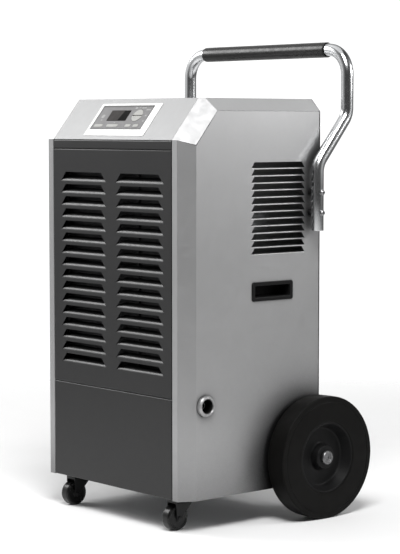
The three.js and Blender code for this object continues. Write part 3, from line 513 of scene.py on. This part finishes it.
def arc_corners(points, radii, closed=True, steps=5):
    """A polyline with its corners rounded; a radius of 0 keeps a corner sharp."""
    result = []
    count = len(points)
    for i, point in enumerate(points):
        radius = radii[i] if isinstance(radii, (list, tuple)) else radii
        at = Vector(point)
        if radius <= 0 or (not closed and i in (0, count - 1)):
            result.append(at)
            continue
        before = (Vector(points[i - 1]) - at).normalized()
        after = (Vector(points[(i + 1) % count]) - at).normalized()
        half = before.angle(after) / 2
        reach = radius / math.tan(half)
        centre = at + (before + after).normalized() * (radius / math.sin(half))
        start, end = at + before * reach - centre, at + after * reach - centre
        span = start.angle(end)
        for k in range(steps + 1):
            share = k / steps
            blend = (start * math.sin((1 - share) * span) + end * math.sin(share * span)) / math.sin(span)
            result.append(centre + blend)
    return result


def rounded_rectangle(width, height, radius, cx=0.0, cy=0.0, steps=5):
    x, y = width / 2, height / 2
    corners = [(cx - x, cy - y), (cx + x, cy - y), (cx + x, cy + y), (cx - x, cy + y)]
    return arc_corners(corners, radius, True, steps)


def loft(bm, loops, closed=True, start_cap=True, end_cap=True):
    """Joins loops of the same number of points; closed loops go all the way round."""
    rings = [[bm.verts.new(p) for p in loop] for loop in loops]
    for a, b in zip(rings, rings[1:]):
        count = len(a)
        for i in range(count if closed else count - 1):
            j = (i + 1) % count
            bm.faces.new((a[i], a[j], b[j], b[i]))
    if start_cap:
        bm.faces.new(rings[0])
    if end_cap:
        bm.faces.new(rings[-1])
    return rings


def turned(profile, centre, axis="x", segments=96):
    """A solid of revolution from [radius, place along the axis] points, which form a closed section."""
    bm = bmesh.new()
    loops = []
    for radius, along in profile:
        ring = []
        for k in range(segments):
            angle = 2 * math.pi * k / segments
            c, s = radius * math.cos(angle), radius * math.sin(angle)
            ring.append({"x": (along, c, s), "y": (c, along, s), "z": (c, s, along)}[axis])
        loops.append([Vector(p) + Vector(centre) for p in ring])
    solid = profile[0][0] < 1e-6 and profile[-1][0] < 1e-6
    if not solid:
        loops.append(loops[0])
    loft(bm, loops, start_cap=False, end_cap=False)
    return bm


def tube(path, radius, sides=32, start_round=0.0, end_round=0.0):
    """A round bar along a path, its ends drawn in by a small edge radius."""
    points = [Vector(p) for p in path]
    tangents = []
    for i in range(len(points)):
        tangents.append((points[min(i + 1, len(points) - 1)] - points[max(i - 1, 0)]).normalized())
    side = tangents[0].orthogonal().normalized()
    loops = []

    def ring(centre, across, along, size):
        other = along.cross(across)
        return [
            centre
            + (across * math.cos(2 * math.pi * k / sides) + other * math.sin(2 * math.pi * k / sides)) * size
            for k in range(sides)
        ]

    for i, (point, along) in enumerate(zip(points, tangents)):
        if i:
            side = tangents[i - 1].rotation_difference(along) @ side
        side = (side - along * side.dot(along)).normalized()
        if i == 0 and start_round:
            loops.append(ring(point, side, along, radius - start_round))
            loops.append(ring(point + along * start_round * 0.3, side, along, radius - start_round * 0.3))
            loops.append(ring(point + along * start_round, side, along, radius))
        elif i == len(points) - 1 and end_round:
            loops.append(ring(point - along * end_round, side, along, radius))
            loops.append(ring(point - along * end_round * 0.3, side, along, radius - end_round * 0.3))
            loops.append(ring(point, side, along, radius - end_round))
        else:
            loops.append(ring(point, side, along, radius))
    bm = bmesh.new()
    loft(bm, loops)
    return bm


def merge(*parts):
    """One mesh from several, which are used up."""
    whole = bmesh.new()
    for part in parts:
        mesh = bpy.data.meshes.new("part")
        part.to_mesh(mesh)
        part.free()
        whole.from_mesh(mesh)
        bpy.data.meshes.remove(mesh)
    return whole


def mirrored_x(bm):
    bm.transform(Matrix.Diagonal((-1, 1, 1, 1)))
    bmesh.ops.reverse_faces(bm, faces=bm.faces[:])
    return bm


def cad_solid(node):
    """A copy of a CAD node's mesh, welded, with its flat faces made whole."""
    bm = bmesh.new()
    bm.from_mesh(frame["nodes"][node].data)
    bm.transform(Matrix.Scale(1 / MM, 4))
    bmesh.ops.remove_doubles(bm, verts=bm.verts[:], dist=2e-3)
    bmesh.ops.dissolve_limit(bm, angle_limit=math.radians(0.5), verts=bm.verts[:], edges=bm.edges[:])
    return bm


# ------------------------------------------------------------------ sheet metal with louvres
def louvre_places(louvre):
    return [
        (x, louvre["first"] - row * louvre["pitch"])
        for x in louvre["columns"] for row in range(louvre["rows"])
    ]


def trapezoid(louvre, x, z):
    foot, head, tall = louvre["foot"] / 2, louvre["head"] / 2, louvre["height"]
    return [(x - foot, z), (x + foot, z), (x + head, z + tall), (x - head, z + tall)]


def add_flap(bm, louvre, x, z, bend_radius):
    """The tongue cut from an opening, rolled inward about the opening's foot: (across, up, depth) points."""
    bend = math.radians(louvre["bend"])
    outer, inner = bend_radius + SHEET, bend_radius
    steps = 6
    length = louvre["height"] - 1
    stations = []
    for k in range(steps + 1):
        angle = bend * k / steps
        stations.append((outer * angle, angle, 0.0))
    straight = length - outer * bend
    stations.append((length, bend, straight))
    rings = []
    for along, angle, run in stations:
        narrowing = (louvre["foot"] - louvre["head"]) / 2 * along / louvre["height"] + min(0.5, along)
        half = louvre["foot"] / 2 - narrowing
        section = []
        for radius in (outer, inner):
            depth = outer - radius * math.cos(angle) + run * math.sin(angle)
            rise = radius * math.sin(angle) + run * math.cos(angle)
            section.append((rise, depth))
        (rise_out, depth_out), (rise_in, depth_in) = section
        rings.append([
            (x - half, z + rise_out, depth_out), (x + half, z + rise_out, depth_out),
            (x + half, z + rise_in, depth_in), (x - half, z + rise_in, depth_in),
        ])
    loft(bm, rings, start_cap=False)


def sheet(outline, holes, thickness, louvre=None, cuts=(), bend_radius=2.2):
    """A flat sheet in (across, up, depth): holes, louvres with their tongues, and extra lines across it."""
    places = louvre_places(louvre) if louvre else []
    loops = [outline, *holes, *(trapezoid(louvre, x, z) for x, z in places)]
    bm = bmesh.new()
    edges = []
    for loop in loops:
        ring = [bm.verts.new((p[0], p[1], 0)) for p in loop]
        edges += [bm.edges.new((ring[i], ring[(i + 1) % len(ring)])) for i in range(len(ring))]
    bmesh.ops.triangle_fill(bm, use_beauty=True, use_dissolve=False, edges=edges)
    for cut in cuts:
        bmesh.ops.bisect_plane(
            bm, geom=bm.verts[:] + bm.edges[:] + bm.faces[:],
            plane_co=(cut, 0, 0), plane_no=(1, 0, 0), dist=1e-4,
        )
    rims = [e for e in bm.edges if e.is_boundary]
    front = bm.verts[:] + bm.edges[:] + bm.faces[:]
    copies = bmesh.ops.duplicate(bm, geom=front)["vert_map"]
    for vert in front:
        if isinstance(vert, bmesh.types.BMVert):
            copies[vert].co.z = thickness

    def hinged(edge):
        a, b = (v.co for v in edge.verts)
        return any(
            abs(a.y - z) < 1e-4 and abs(b.y - z) < 1e-4 and abs((a.x + b.x) / 2 - x) <= louvre["foot"] / 2
            for x, z in places
        )

    for edge in rims:
        if places and hinged(edge):
            continue
        a, b = edge.verts
        bm.faces.new((a, b, copies[b], copies[a]))
    for x, z in places:
        add_flap(bm, louvre, x, z, bend_radius)
    return bm


def front_panel(z0, z1, louvre=None):
    """A front panel with rolled edges: a flat field and returns folded back on all four sides."""
    half = high("tank_front").x
    depth = high("tank_front").y - FRONT
    roll = 2.6
    steps = 5

    def ring(inset, back):
        x, a, b = half - inset, z0 + inset, z1 - inset
        return [(-x, a, back), (x, a, back), (x, b, back), (-x, b, back)]

    field = [(p[0], p[1]) for p in ring(roll, 0)]
    bm = sheet(field, [], SHEET, louvre, bend_radius=8)
    walls = [f for f in bm.faces if abs(f.normal.z) < 0.5 and all(
        abs(abs(v.co.x) - (half - roll)) < 1e-3
        or abs(v.co.y - z0 - roll) < 1e-3 or abs(v.co.y - z1 + roll) < 1e-3
        for v in f.verts)]
    bmesh.ops.delete(bm, geom=walls, context="FACES_ONLY")
    angles = [math.pi / 2 * k / steps for k in range(steps + 1)]
    outer = [ring(roll - roll * math.sin(t), roll - roll * math.cos(t)) for t in angles] + [ring(0, depth)]
    core = roll - SHEET
    inner = [ring(roll - core * math.sin(t), roll - core * math.cos(t)) for t in angles]
    inner.append(ring(SHEET, depth))
    loft(bm, [*outer, *reversed(inner)], start_cap=False, end_cap=False)
    for vert in bm.verts:
        across, up, back = vert.co
        vert.co = (across, FRONT + back, up)
    return bm


class BentProfile:
    """A plan line with round bends: turns (distance along it, height, depth) into a point."""

    def __init__(self, corners, radius):
        self.points = arc_corners(corners, radius, closed=False, steps=5)
        self.marks = [0.0]
        for a, b in zip(self.points, self.points[1:]):
            self.marks.append(self.marks[-1] + (b - a).length)

    def distance(self, x, y):
        """Distance along the line of the place nearest to a plan point."""
        best = None
        for i, (a, b) in enumerate(zip(self.points, self.points[1:])):
            step = b - a
            share = max(0, min(1, (Vector((x, y)) - a).dot(step) / step.length_squared))
            gap = (a + step * share - Vector((x, y))).length
            if best is None or gap < best[0]:
                best = (gap, self.marks[i] + step.length * share)
        return best[1]

    def normal(self, i):
        a, b = self.points[i], self.points[i + 1]
        step = (b - a).normalized()
        return Vector((step.y, -step.x))

    def place(self, along, height, depth):
        i = 0
        while i < len(self.marks) - 2 and along > self.marks[i + 1] + 1e-6:
            i += 1
        step = (self.points[i + 1] - self.points[i]).normalized()
        at = self.points[i] + step * (along - self.marks[i])
        normal = self.normal(i)
        if abs(along - self.marks[i + 1]) < 1e-3 and i + 2 < len(self.points):
            normal = (normal + self.normal(i + 1)).normalized()
        elif abs(along - self.marks[i]) < 1e-3 and i:
            normal = (normal + self.normal(i - 1)).normalized()
        at = at - normal * depth
        return Vector((at.x, at.y, height))


def circle(x, y, radius, count=28):
    return [(x + radius * math.cos(2 * math.pi * k / count), y + radius * math.sin(2 * math.pi * k / count))
            for k in range(count)]


def side_panel(sign):
    """Front strip, bevel, side wall and rear flange, bent from one sheet."""
    inner_fold = 14
    flange = 22
    skin_back = BACK - SHEET - 0.3
    plan = BentProfile([
        (STRIP_IN, FRONT + inner_fold), (STRIP_IN, FRONT), (STRIP_OUT, FRONT), (HALF_W, BEVEL_BACK),
        (HALF_W, skin_back), (HALF_W - flange, skin_back),
    ], 2.4)
    u = plan.distance
    bottom = BOTTOM - CLEAR
    strip_top = SLOPE_FOOT - CLEAR - 0.2
    bevel_top = CORNER_FOOT - CLEAR
    eave_top = EAVE - CLEAR - 0.2
    eave_y = EAVE_FRONT
    flange_top = eave_top - 4
    outline = [
        (u(STRIP_IN, FRONT + inner_fold), bottom), (u(HALF_W - flange, skin_back), bottom),
        (u(HALF_W - flange, skin_back), flange_top), (u(HALF_W, skin_back) + 1.2, flange_top),
        (u(HALF_W, skin_back) - 3.4, eave_top), (u(HALF_W, eave_y), eave_top),
        (u(HALF_W, BEVEL_BACK), bevel_top), (u(STRIP_OUT, FRONT), strip_top),
        (u(STRIP_IN, FRONT) + 2.6, strip_top), (u(STRIP_IN, FRONT) - 2.6, strip_top - 3),
        (u(STRIP_IN, FRONT + inner_fold), strip_top - 3),
    ]
    grip, axle = middle("grip_cup_right"), middle("axle_cap_right")
    holes = [
        rounded_rectangle(108, 32, 3, u(HALF_W, grip.y), grip.z),
        circle(u(HALF_W, axle.y), axle.z, 9.5),
    ]
    for i in (1, 2):
        bolt = middle(f"handle_bolt_right_{i}")
        holes.append(circle(u(HALF_W, bolt.y), bolt.z, 4.5, 16))
    if sign > 0:
        port = middle("drain_collar")
        holes.append(circle(u(HALF_W, port.y), port.z, 18))
    louvre = dict(SIDE_LOUVRE, columns=[u(HALF_W, SIDE_LOUVRE["columns"][0])])
    bm = sheet(outline, holes, SHEET, louvre, plan.marks[1:-1], bend_radius=0.3)
    for vert in bm.verts:
        vert.co = plan.place(*vert.co)
    return mirrored_x(bm) if sign < 0 else bm


def cabinet():
    grille_low, grille_high = low("front_grille"), high("front_grille")
    trim_low, trim_high = low("trim_strip"), high("trim_strip")
    tank_low, tank_high = low("tank_front"), high("tank_front")
    panels = [
        ("front_grille", grille_low.z, grille_high.z, FRONT_LOUVRE),
        ("trim_strip", trim_low.z, trim_high.z, None),
        ("tank_front", tank_low.z, tank_high.z, None),
    ]
    for node, z0, z1, louvre in panels:
        even(stand_for(new_object(f"{node}_sheet", front_panel(z0, z1, louvre)), node))
    for side, sign in (("left", -1), ("right", 1)):
        even(stand_for(new_object(f"side_panel_{side}_sheet", side_panel(sign)), f"side_panel_{side}"))
    cover = stand_for(new_object("top_cover_sheet", cad_solid("top_cover")), "top_cover")
    even(soften(cover, 1.3, 3, 12))
    soften(stand_for(new_object("rear_panel_sheet", cad_solid("rear_panel")), "rear_panel"), 0.4)


# ------------------------------------------------------------------ recessed grips and drain port
def grip_cup(side, sign):
    lowest, highest = low("grip_cup_right"), high("grip_cup_right")
    y, z = (lowest.y + highest.y) / 2, (lowest.z + highest.z) / 2
    face, back = highest.x, lowest.x
    wide, tall = highest.y - lowest.y, highest.z - lowest.z
    mouth_w, mouth_h = 100, 24

    def ring(w, h, r, x):
        return [(x, y + p.x, z + p.y) for p in rounded_rectangle(w, h, r, steps=6)]

    rings = [
        ring(mouth_w + 4, mouth_h + 4, 4, back), ring(mouth_w + 4, mouth_h + 4, 4, face - 2),
        ring(wide, tall, 4.5, face - 2), ring(wide, tall, 4.5, face - 0.9),
        ring(wide - 1, tall - 1, 4, face - 0.2), ring(wide - 2.6, tall - 2.6, 3.6, face),
        ring(mouth_w + 3.4, mouth_h + 3.4, 3.4, face), ring(mouth_w + 1.2, mouth_h + 1.2, 3, face - 0.7),
        ring(mouth_w, mouth_h, 2.8, face - 2.4), ring(mouth_w - 1, mouth_h - 1, 2.8, back + 5),
        ring(mouth_w - 6, mouth_h - 6, 2.4, back + 2),
    ]
    bm = bmesh.new()
    loft(bm, rings)
    if sign < 0:
        mirrored_x(bm)
    even(stand_for(new_object(f"grip_cup_{side}_moulding", bm), f"grip_cup_{side}"))


def drain_port():
    lowest, highest = low("drain_collar"), high("drain_collar")
    y, z = (lowest.y + highest.y) / 2, (lowest.z + highest.z) / 2
    face, top = HALF_W + 0.3, highest.x
    outer = (highest.y - lowest.y) / 2
    section = arc_corners([
        (15, lowest.x), (17.5, lowest.x), (17.5, face), (outer, face),
        (outer - 1.2, top - 3), (outer - 4.4, top), (16.4, top), (15, top - 2),
    ], [0, 0, 0, 0.8, 1.2, 1.4, 0.6, 0.6], steps=4)
    stand_for(new_object("drain_collar_ring", turned([tuple(p) for p in section], (0, y, z))), "drain_collar")
    elbow = frame["nodes"]["drain_elbow"]
    elbow.data.shade_smooth()
    mouth = high("drain_elbow").x
    spigot = turned([
        (5.6, mouth - 9), (7.9, mouth - 9), (7.9, mouth + 0.2), (7.4, mouth + 0.6), (6, mouth + 0.6),
        (5.6, mouth + 0.2),
    ], (0, y, z), segments=48)
    extra(new_object("drain_spigot", spigot), "cabinet", "zinc_sheet")


# ------------------------------------------------------------------ wheels and axle
def wheels():
    lowest, highest = low("tyre_right"), high("tyre_right")
    y, z = (lowest.y + highest.y) / 2, (lowest.z + highest.z) / 2
    radius = (highest.z - lowest.z) / 2
    inner, outer = lowest.x, highest.x
    width = outer - inner
    hub_r = 76
    tyre = arc_corners([
        (hub_r, inner), (radius - 1, inner), (radius, inner + width * 0.5), (radius, outer - 1),
        (radius - 2, outer), (radius - 11, outer), (radius - 11.8, outer - 0.8), (radius - 13, outer - 0.8),
        (radius - 14, outer - 0.1), (hub_r + 3, outer), (hub_r, outer - 0.8),
    ], [0, 9, 0, 2.4, 1.6, 0.4, 0.3, 0.3, 0.4, 1, 0], steps=6)
    floor_z = outer - 26
    hub = arc_corners([
        (8.6, inner + 0.5), (hub_r - 0.2, inner + 0.5), (hub_r - 0.2, outer - 0.9),
        (hub_r - 3.2, outer - 1.2), (hub_r - 13, floor_z), (28.5, floor_z + 0.6),
        (25.2, outer - 6), (8.6, outer - 5),
    ], [0, 1, 1, 2.2, 6, 5, 2.4, 0], steps=6)
    cap_top = high("axle_cap_right").x
    cap = arc_corners([
        (0, outer - 4.5), (15, outer - 4.5), (15, outer + 0.4), (12.6, cap_top), (9.2, cap_top),
        (8.2, outer + 0.2), (4.2, outer + 0.2), (3.6, outer - 2.2), (0, outer - 2.2),
    ], [0, 0.6, 2.0, 1.2, 0.8, 0.8, 0.3, 0.3, 0], closed=False, steps=5)
    worn = plated("worn_chrome", (0.2, 0.2, 0.203), 0.42)
    for side, sign in (("left", -1), ("right", 1)):
        for node, name, section, segments in (
            (f"tyre_{side}", f"tyre_{side}_moulding", tyre, 160),
            (f"wheel_hub_{side}", f"wheel_hub_{side}_moulding", hub, 128),
            (f"axle_cap_{side}", f"axle_cap_{side}_dome", cap, 64),
        ):
            bm = turned([tuple(p) for p in section], (0, y, z), segments=segments)
            if sign < 0:
                mirrored_x(bm)
            stand_for(new_object(name, bm, 28), node, material=worn if "cap" in name else None)


# ------------------------------------------------------------------ casters
def caster(side):
    fork_low, fork_high = low(f"caster_fork_{side}"), high(f"caster_fork_{side}")
    wheel_low, wheel_high = low(f"caster_wheel_{side}"), high(f"caster_wheel_{side}")
    centre = (wheel_low + wheel_high) / 2
    radius = (wheel_high.z - wheel_low.z) / 2
    half = (wheel_high.x - wheel_low.x) / 2
    swivel_y = centre.y + 12.5
    tread = arc_corners([
        (3.5, -half), (8, -half), (9, -half + 1.4), (radius - 7, -half + 1.4), (radius - 5.5, -half),
        (radius - 1.5, -half + 0.6), (radius, -half + 4), (radius, half - 4), (radius - 1.5, half - 0.6),
        (radius - 5.5, half), (radius - 7, half - 1.4), (9, half - 1.4), (8, half), (3.5, half),
    ], [0, 0.4, 0.4, 0.5, 0.6, 1.4, 2.4, 2.4, 1.4, 0.6, 0.5, 0.4, 0.4, 0], steps=3)
    roller = turned([tuple(p) for p in tread], centre, segments=96)
    stand_for(new_object(f"caster_wheel_{side}_tread", roller), f"caster_wheel_{side}")

    outline = arc_corners([
        (swivel_y + 22.6, fork_high.z - 1.2), (swivel_y - 20.6, fork_high.z - 1.2), (swivel_y - 20.6, 57),
        (centre.y - 7, centre.z + 3), (centre.y - 4.6, centre.z - 6), (centre.y + 5, centre.z - 6),
        (centre.y + 9.6, centre.z + 4), (swivel_y + 21, 55),
    ], [1.5, 1.5, 4, 7, 4, 4, 6, 4], steps=4)
    parts = []
    for x0, x1 in ((fork_low.x, fork_low.x + 2.4), (fork_high.x - 2.4, fork_high.x)):
        cheek = bmesh.new()
        loft(cheek, [[(x, p.x, p.y) for p in outline] for x in (x0, x1)])
        parts.append(cheek)
    crown_half = (fork_high.x - fork_low.x) / 2
    crown = bmesh.new()
    plan = rounded_rectangle(2 * crown_half, 43.6, 3, centre.x, swivel_y + 1, steps=4)
    shrink = rounded_rectangle(2 * crown_half - 2, 41.6, 2.4, centre.x, swivel_y + 1, steps=4)
    loft(crown, [[(p.x, p.y, 58) for p in plan], [(p.x, p.y, fork_high.z - 1) for p in plan],
                 [(p.x, p.y, fork_high.z) for p in shrink]])
    parts.append(crown)
    for end in (-1, 1):
        nut = turned([(0, 0), (5, 0), (5, 1.6), (3.6, 2.4), (0, 2.4)], (0, 0, 0), segments=6)
        nut.transform(Matrix.Diagonal((end, 1, 1, 1)))
        nut.transform(Matrix.Translation((centre.x + end * (crown_half - 0.3), centre.y, centre.z)))
        parts.append(nut)
    pin_half = crown_half - 0.5
    pin = turned([(0, -pin_half), (3, -pin_half), (3, pin_half), (0, pin_half)], centre, segments=24)
    parts.append(pin)
    fork = stand_for(new_object(f"caster_fork_{side}_pressing", merge(*parts)), f"caster_fork_{side}")
    soften(fork, 0.5)


def caster_plates():
    for side in ("left", "right"):
        plate_low, plate_high = low(f"caster_plate_{side}"), high(f"caster_plate_{side}")
        x, y = (plate_low.x + plate_high.x) / 2, (plate_low.y + plate_high.y) / 2
        top = plate_high.z
        parts = []
        plan = rounded_rectangle(48, 46, 5, x, y, steps=5)
        plate = bmesh.new()
        loft(plate, [[(p.x, p.y, h) for p in plan] for h in (top - 2.5, top)])
        parts.append(plate)
        pivot = [(0, plate_low.z), (6, plate_low.z), (6, top - 2.5), (0, top - 2.5)]
        parts.append(turned(pivot, (x, y, 0), "z", 32))
        for dx in (-1, 1):
            for dy in (-1, 1):
                head = [(0, 0), (3.2, 0), (3.2, -0.12), (0, -0.12)]
                parts.append(turned(head, (x + dx * 18.5, y + dy * 17.5, top - 2.48), "z", 24))
        stand_for(new_object(f"caster_plate_{side}_bolted", merge(*parts)), f"caster_plate_{side}")


# ------------------------------------------------------------------ push handle
def handle():
    lowest, highest = low("handle_tube"), high("handle_tube")
    radius = 14.0
    x = highest.x - radius
    leg_y, bar_y = lowest.y + radius, highest.y - radius
    bar_z = highest.z - radius
    knee_low, knee_high, knee_r, corner_r = 762, 868, 45, 55
    leg = [(x, leg_y, lowest.z), (x, leg_y, knee_low), (x, bar_y, knee_high), (x, bar_y, bar_z)]
    corners = [(-px, py, pz) for px, py, pz in leg] + leg[::-1]
    radii = [0, knee_r, knee_r, corner_r, corner_r, knee_r, knee_r, 0]
    path = arc_corners(corners, radii, closed=False, steps=14)
    stand_for(new_object("handle_tube_bent", tube(path, radius, 40, 1.2, 1.2), 50), "handle_tube")

    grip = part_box("handle_grip")
    half, grip_r = grip[1].x / MM, (grip[1].z - grip[0].z) / 2 / MM
    end = [
        (radius + 0.1, half - 0.6), (grip_r - 1.6, half),
        (grip_r - 0.5, half - 0.8), (grip_r - 0.1, half - 2.4),
    ]
    sleeve = [(r, -along) for r, along in end]
    for k in range(13):
        worn_in = 0.12 * math.sin(math.pi * k / 12) ** 2
        sleeve.append((grip_r - worn_in, -half + 4 + (2 * half - 8) * k / 12))
    sleeve += end[::-1]
    stand_for(new_object("handle_grip_foam", turned(sleeve, (0, bar_y, bar_z), segments=64)), "handle_grip")

    for side, sign in (("left", -1), ("right", 1)):
        for i in (1, 2):
            bolt_low, bolt_high = low(f"handle_bolt_right_{i}"), high(f"handle_bolt_right_{i}")
            z = (bolt_low.z + bolt_high.z) / 2
            seat = x + radius + 0.05
            head = arc_corners([
                (0, bolt_low.x), (4, bolt_low.x), (4, seat), (6.2, seat), (6.2, seat + 1.4),
                (5.6, seat + 3.4),
                (3.8, bolt_high.x), (2.4, bolt_high.x), (2.2, seat + 2.2), (0, seat + 2.2),
            ], [0, 0, 0, 0.3, 0.8, 1.0, 0.6, 0.2, 0.2, 0], closed=False, steps=3)
            bolt = turned([tuple(p) for p in head], (0, leg_y, z), segments=40)
            spacer_low, spacer_high = low(f"handle_spacer_right_{i}"), high(f"handle_spacer_right_{i}")
            section = arc_corners([
                (4.6, spacer_low.x), (7.4, spacer_low.x), (6.2, spacer_high.x), (4.6, spacer_high.x),
            ], [0, 0.8, 0.8, 0], steps=3)
            spacer = turned([tuple(p) for p in section], (0, leg_y, z), segments=40)
            if sign < 0:
                mirrored_x(bolt)
                mirrored_x(spacer)
            stand_for(new_object(f"handle_bolt_{side}_{i}_head", bolt), f"handle_bolt_{side}_{i}")
            stand_for(new_object(f"handle_spacer_{side}_{i}_cone", spacer), f"handle_spacer_{side}_{i}")


# ------------------------------------------------------------------ control console
KEYS = {  # width, height, centre across, centre up the slope
    "key_power": (29, 8, -65, 34.5),
    "key_mode": (38, 8, -17, 34.5),
    "key_timer": (17, 8, 36, 34.5),
    "key_fan": (17, 8, 63, 34.5),
}
DISPLAY = (66, 28.5, -15.5, 62)
DIAL = (48, 62, 16)


def on_slope(bm):
    """From slope coordinates (across, up the slope, out of it) to the row frame."""
    bm.transform(Matrix.Translation((0, FRONT, SLOPE_FOOT)) @ Matrix.Rotation(SLOPE_TURN, 4, "X"))
    return bm


def slab(loop, low_z, high_z, edge=0.4, bottom_edge=0.0):
    """A flat plate with a rounded upper edge, from a loop of (x, y) points round its centre."""
    centre = sum((Vector((p[0], p[1])) for p in loop), Vector((0, 0))) / len(loop)

    def inset(amount, z):
        ring = []
        count = len(loop)
        for i in range(count):
            before, here, after = (Vector(loop[(i + k) % count][:2]) for k in (-1, 0, 1))
            step = (after - before).normalized()
            normal = Vector((step.y, -step.x))
            if normal.dot(here - centre) < 0:
                normal = -normal
            ring.append((*(here - normal * amount), z))
        return ring

    rings = [inset(bottom_edge, low_z), inset(0, low_z + bottom_edge), inset(0, high_z - edge)]
    rings += [inset(edge * 0.3, high_z - edge * 0.3), inset(edge, high_z)]
    bm = bmesh.new()
    loft(bm, rings)
    return bm


def half_disc(up):
    cx, cy, radius = DIAL
    gap = 1.0
    start = math.asin(gap / radius)
    points = []
    count = 22
    for k in range(count + 1):
        angle = start + (math.pi - 2 * start) * k / count
        points.append((cx + radius * math.cos(angle), cy + up * radius * math.sin(angle)))
    return arc_corners(points, [0.9] + [0] * (count - 1) + [0.9], steps=3)


MARKS = (  # width, height, centre across, centre up the slope
    (11, 10, -68, 60), (6, 3, -66, 50), (8, 5, 30, 83), (4, 2.6, 42, 84), (15, 3, 56, 83),
    (16, 3.4, 74, 78), (6, 3.4, 76, 62), (6, 3.4, 78, 47), (5, 2, -15, 42.5),
)


def add_patch(bm, loop, z, thickness=0.04):
    """A thin flat patch standing on the height z."""
    bottom = [bm.verts.new((p.x, p.y, z)) for p in loop]
    top = [bm.verts.new((p.x, p.y, z + thickness)) for p in loop]
    bm.faces.new(top)
    bm.faces.new(reversed(bottom))
    for i in range(len(loop)):
        j = (i + 1) % len(loop)
        bm.faces.new((bottom[i], bottom[j], top[j], top[i]))


def console():
    pale_ink = printed_film("pale_ink", (0.24, 0.24, 0.236), 0.45)
    dark_ink = printed_film("dark_ink", (0.05, 0.05, 0.05), 0.5)
    # A near-black paint for the painted reflection on the display window.
    dark_reflection_paint = moulded("dark_reflection_paint", (0.003, 0.003, 0.003), 0.5, Specular_IOR_Level=0.03)
    outer_w, outer_h, centre = 206, 88, 54.5
    face_w, face_h, face_centre = 175, 65, 56.5
    top = 5.3
    pocket = 1.6

    def ring(w, h, r, cy, z):
        return [(p.x, p.y, z) for p in rounded_rectangle(w, h, r, 0, cy, steps=6)]

    crown_w, crown_h = face_w + 6, face_h + 5
    rings = [
        ring(outer_w - 0.6, outer_h - 0.6, 3, centre, 0.3), ring(outer_w, outer_h, 3.2, centre, 0.8),
        ring(crown_w + 1.6, crown_h + 1.6, 3, face_centre, top - 0.5),
        ring(crown_w, crown_h, 2.8, face_centre, top),
        ring(face_w + 1.8, face_h + 1.8, 1.8, face_centre, top),
        ring(face_w + 0.8, face_h + 0.8, 1.6, face_centre, top - 0.4),
        ring(face_w + 0.8, face_h + 0.8, 1.6, face_centre, pocket),
    ]
    bm = bmesh.new()
    loft(bm, rings)
    even(stand_for(new_object("control_bezel_moulding", on_slope(bm), 30), "control_bezel"))

    holes = [rounded_rectangle(w + 0.7, h + 0.7, 2.2, x, y, steps=4) for w, h, x, y in KEYS.values()]
    w, h, x, y = DISPLAY
    holes.append(rounded_rectangle(w + 0.7, h + 0.7, 1.2, x, y, steps=4))
    holes.append(circle(DIAL[0], DIAL[1], DIAL[2] + 0.5, 48))
    outline = rounded_rectangle(face_w, face_h, 1.5, 0, face_centre, steps=4)
    face = sheet(outline, holes, 2.6)
    for vert in face.verts:
        vert.co.z = 4.5 - vert.co.z
    face = stand_for(new_object("control_face_film", on_slope(face)), "control_face")
    soften(face, 0.15)

    # Printed marks are a thin raised ink, as screen printing leaves it.
    marks = bmesh.new()
    for width, height, x, y in MARKS:
        add_patch(marks, rounded_rectangle(width, height, min(width, height) * 0.45, x, y, steps=4), 4.5)
    extra(new_object("face_marks_print", on_slope(marks), 30), "cabinet", "grey_film", pale_ink)
    border = bmesh.new()
    for x, y, width, height in (
        (0, face_centre + face_h / 2 - 1.6, face_w - 2, 3.2),
        (0, face_centre - face_h / 2 + 1.2, face_w - 2, 2.2),
        (-face_w / 2 + 1.6, face_centre, 2.6, face_h - 2), (face_w / 2 - 1.6, face_centre, 2.6, face_h - 2),
    ):
        add_patch(border, rounded_rectangle(width, height, 0.5, x, y, steps=2), 4.5)
    extra(new_object("face_border_print", on_slope(border), 30), "cabinet", "grey_film", dark_ink)

    w, h, x, y = DISPLAY
    # Painted reflection: a black patch with a slanted edge stands for the dark side of a reflection across
    # the display window.
    pane = bmesh.new()
    add_patch(pane, [Vector(p) for p in (
        (x + 5, y - h / 2 + 0.6), (x + w / 2 - 0.6, y - h / 2 + 0.6),
        (x + w / 2 - 0.6, y + h / 2 - 0.6), (x + 12, y + h / 2 - 0.6),
    )], 4.8)
    extra(new_object("display_dark_reflection", on_slope(pane), 30), "cabinet", "display_glass", dark_reflection_paint)
    window = slab(rounded_rectangle(w, h, 1, x, y, steps=4), 1.9, 4.8, 0.35)
    even(stand_for(new_object("display_window_acrylic", on_slope(window), 50), "display_window"))
    for name, (w, h, x, y) in KEYS.items():
        loop = rounded_rectangle(w, h, 2.4, x, y, steps=5)
        even(stand_for(new_object(f"{name}_cap", on_slope(slab(loop, 2.8, 5.2, 0.7)), 50), name))
    for name, up in (("key_up", 1), ("key_down", -1)):
        even(stand_for(new_object(f"{name}_cap", on_slope(slab(half_disc(up), 2.8, 5.2, 0.7)), 50), name))


# ------------------------------------------------------------------ the pieces inside keep their CAD shape
def carry_over():
    for node, obj in frame["nodes"].items():
        if obj.hide_render:
            continue
        obj.data.materials.clear()
        obj.data.materials.append(MATERIALS[SLOT_OF[node]])
        obj.data.shade_smooth()
        obj.data.set_sharp_from_angle(angle=math.radians(30))


camera()
studio()
MATERIALS = make_materials()
floor()
cabinet()
for side, sign in (("left", -1), ("right", 1)):
    grip_cup(side, sign)
    caster(side)
drain_port()
wheels()
caster_plates()
handle()
console()
carry_over()

bpy.context.scene.view_settings.view_transform = "Standard"
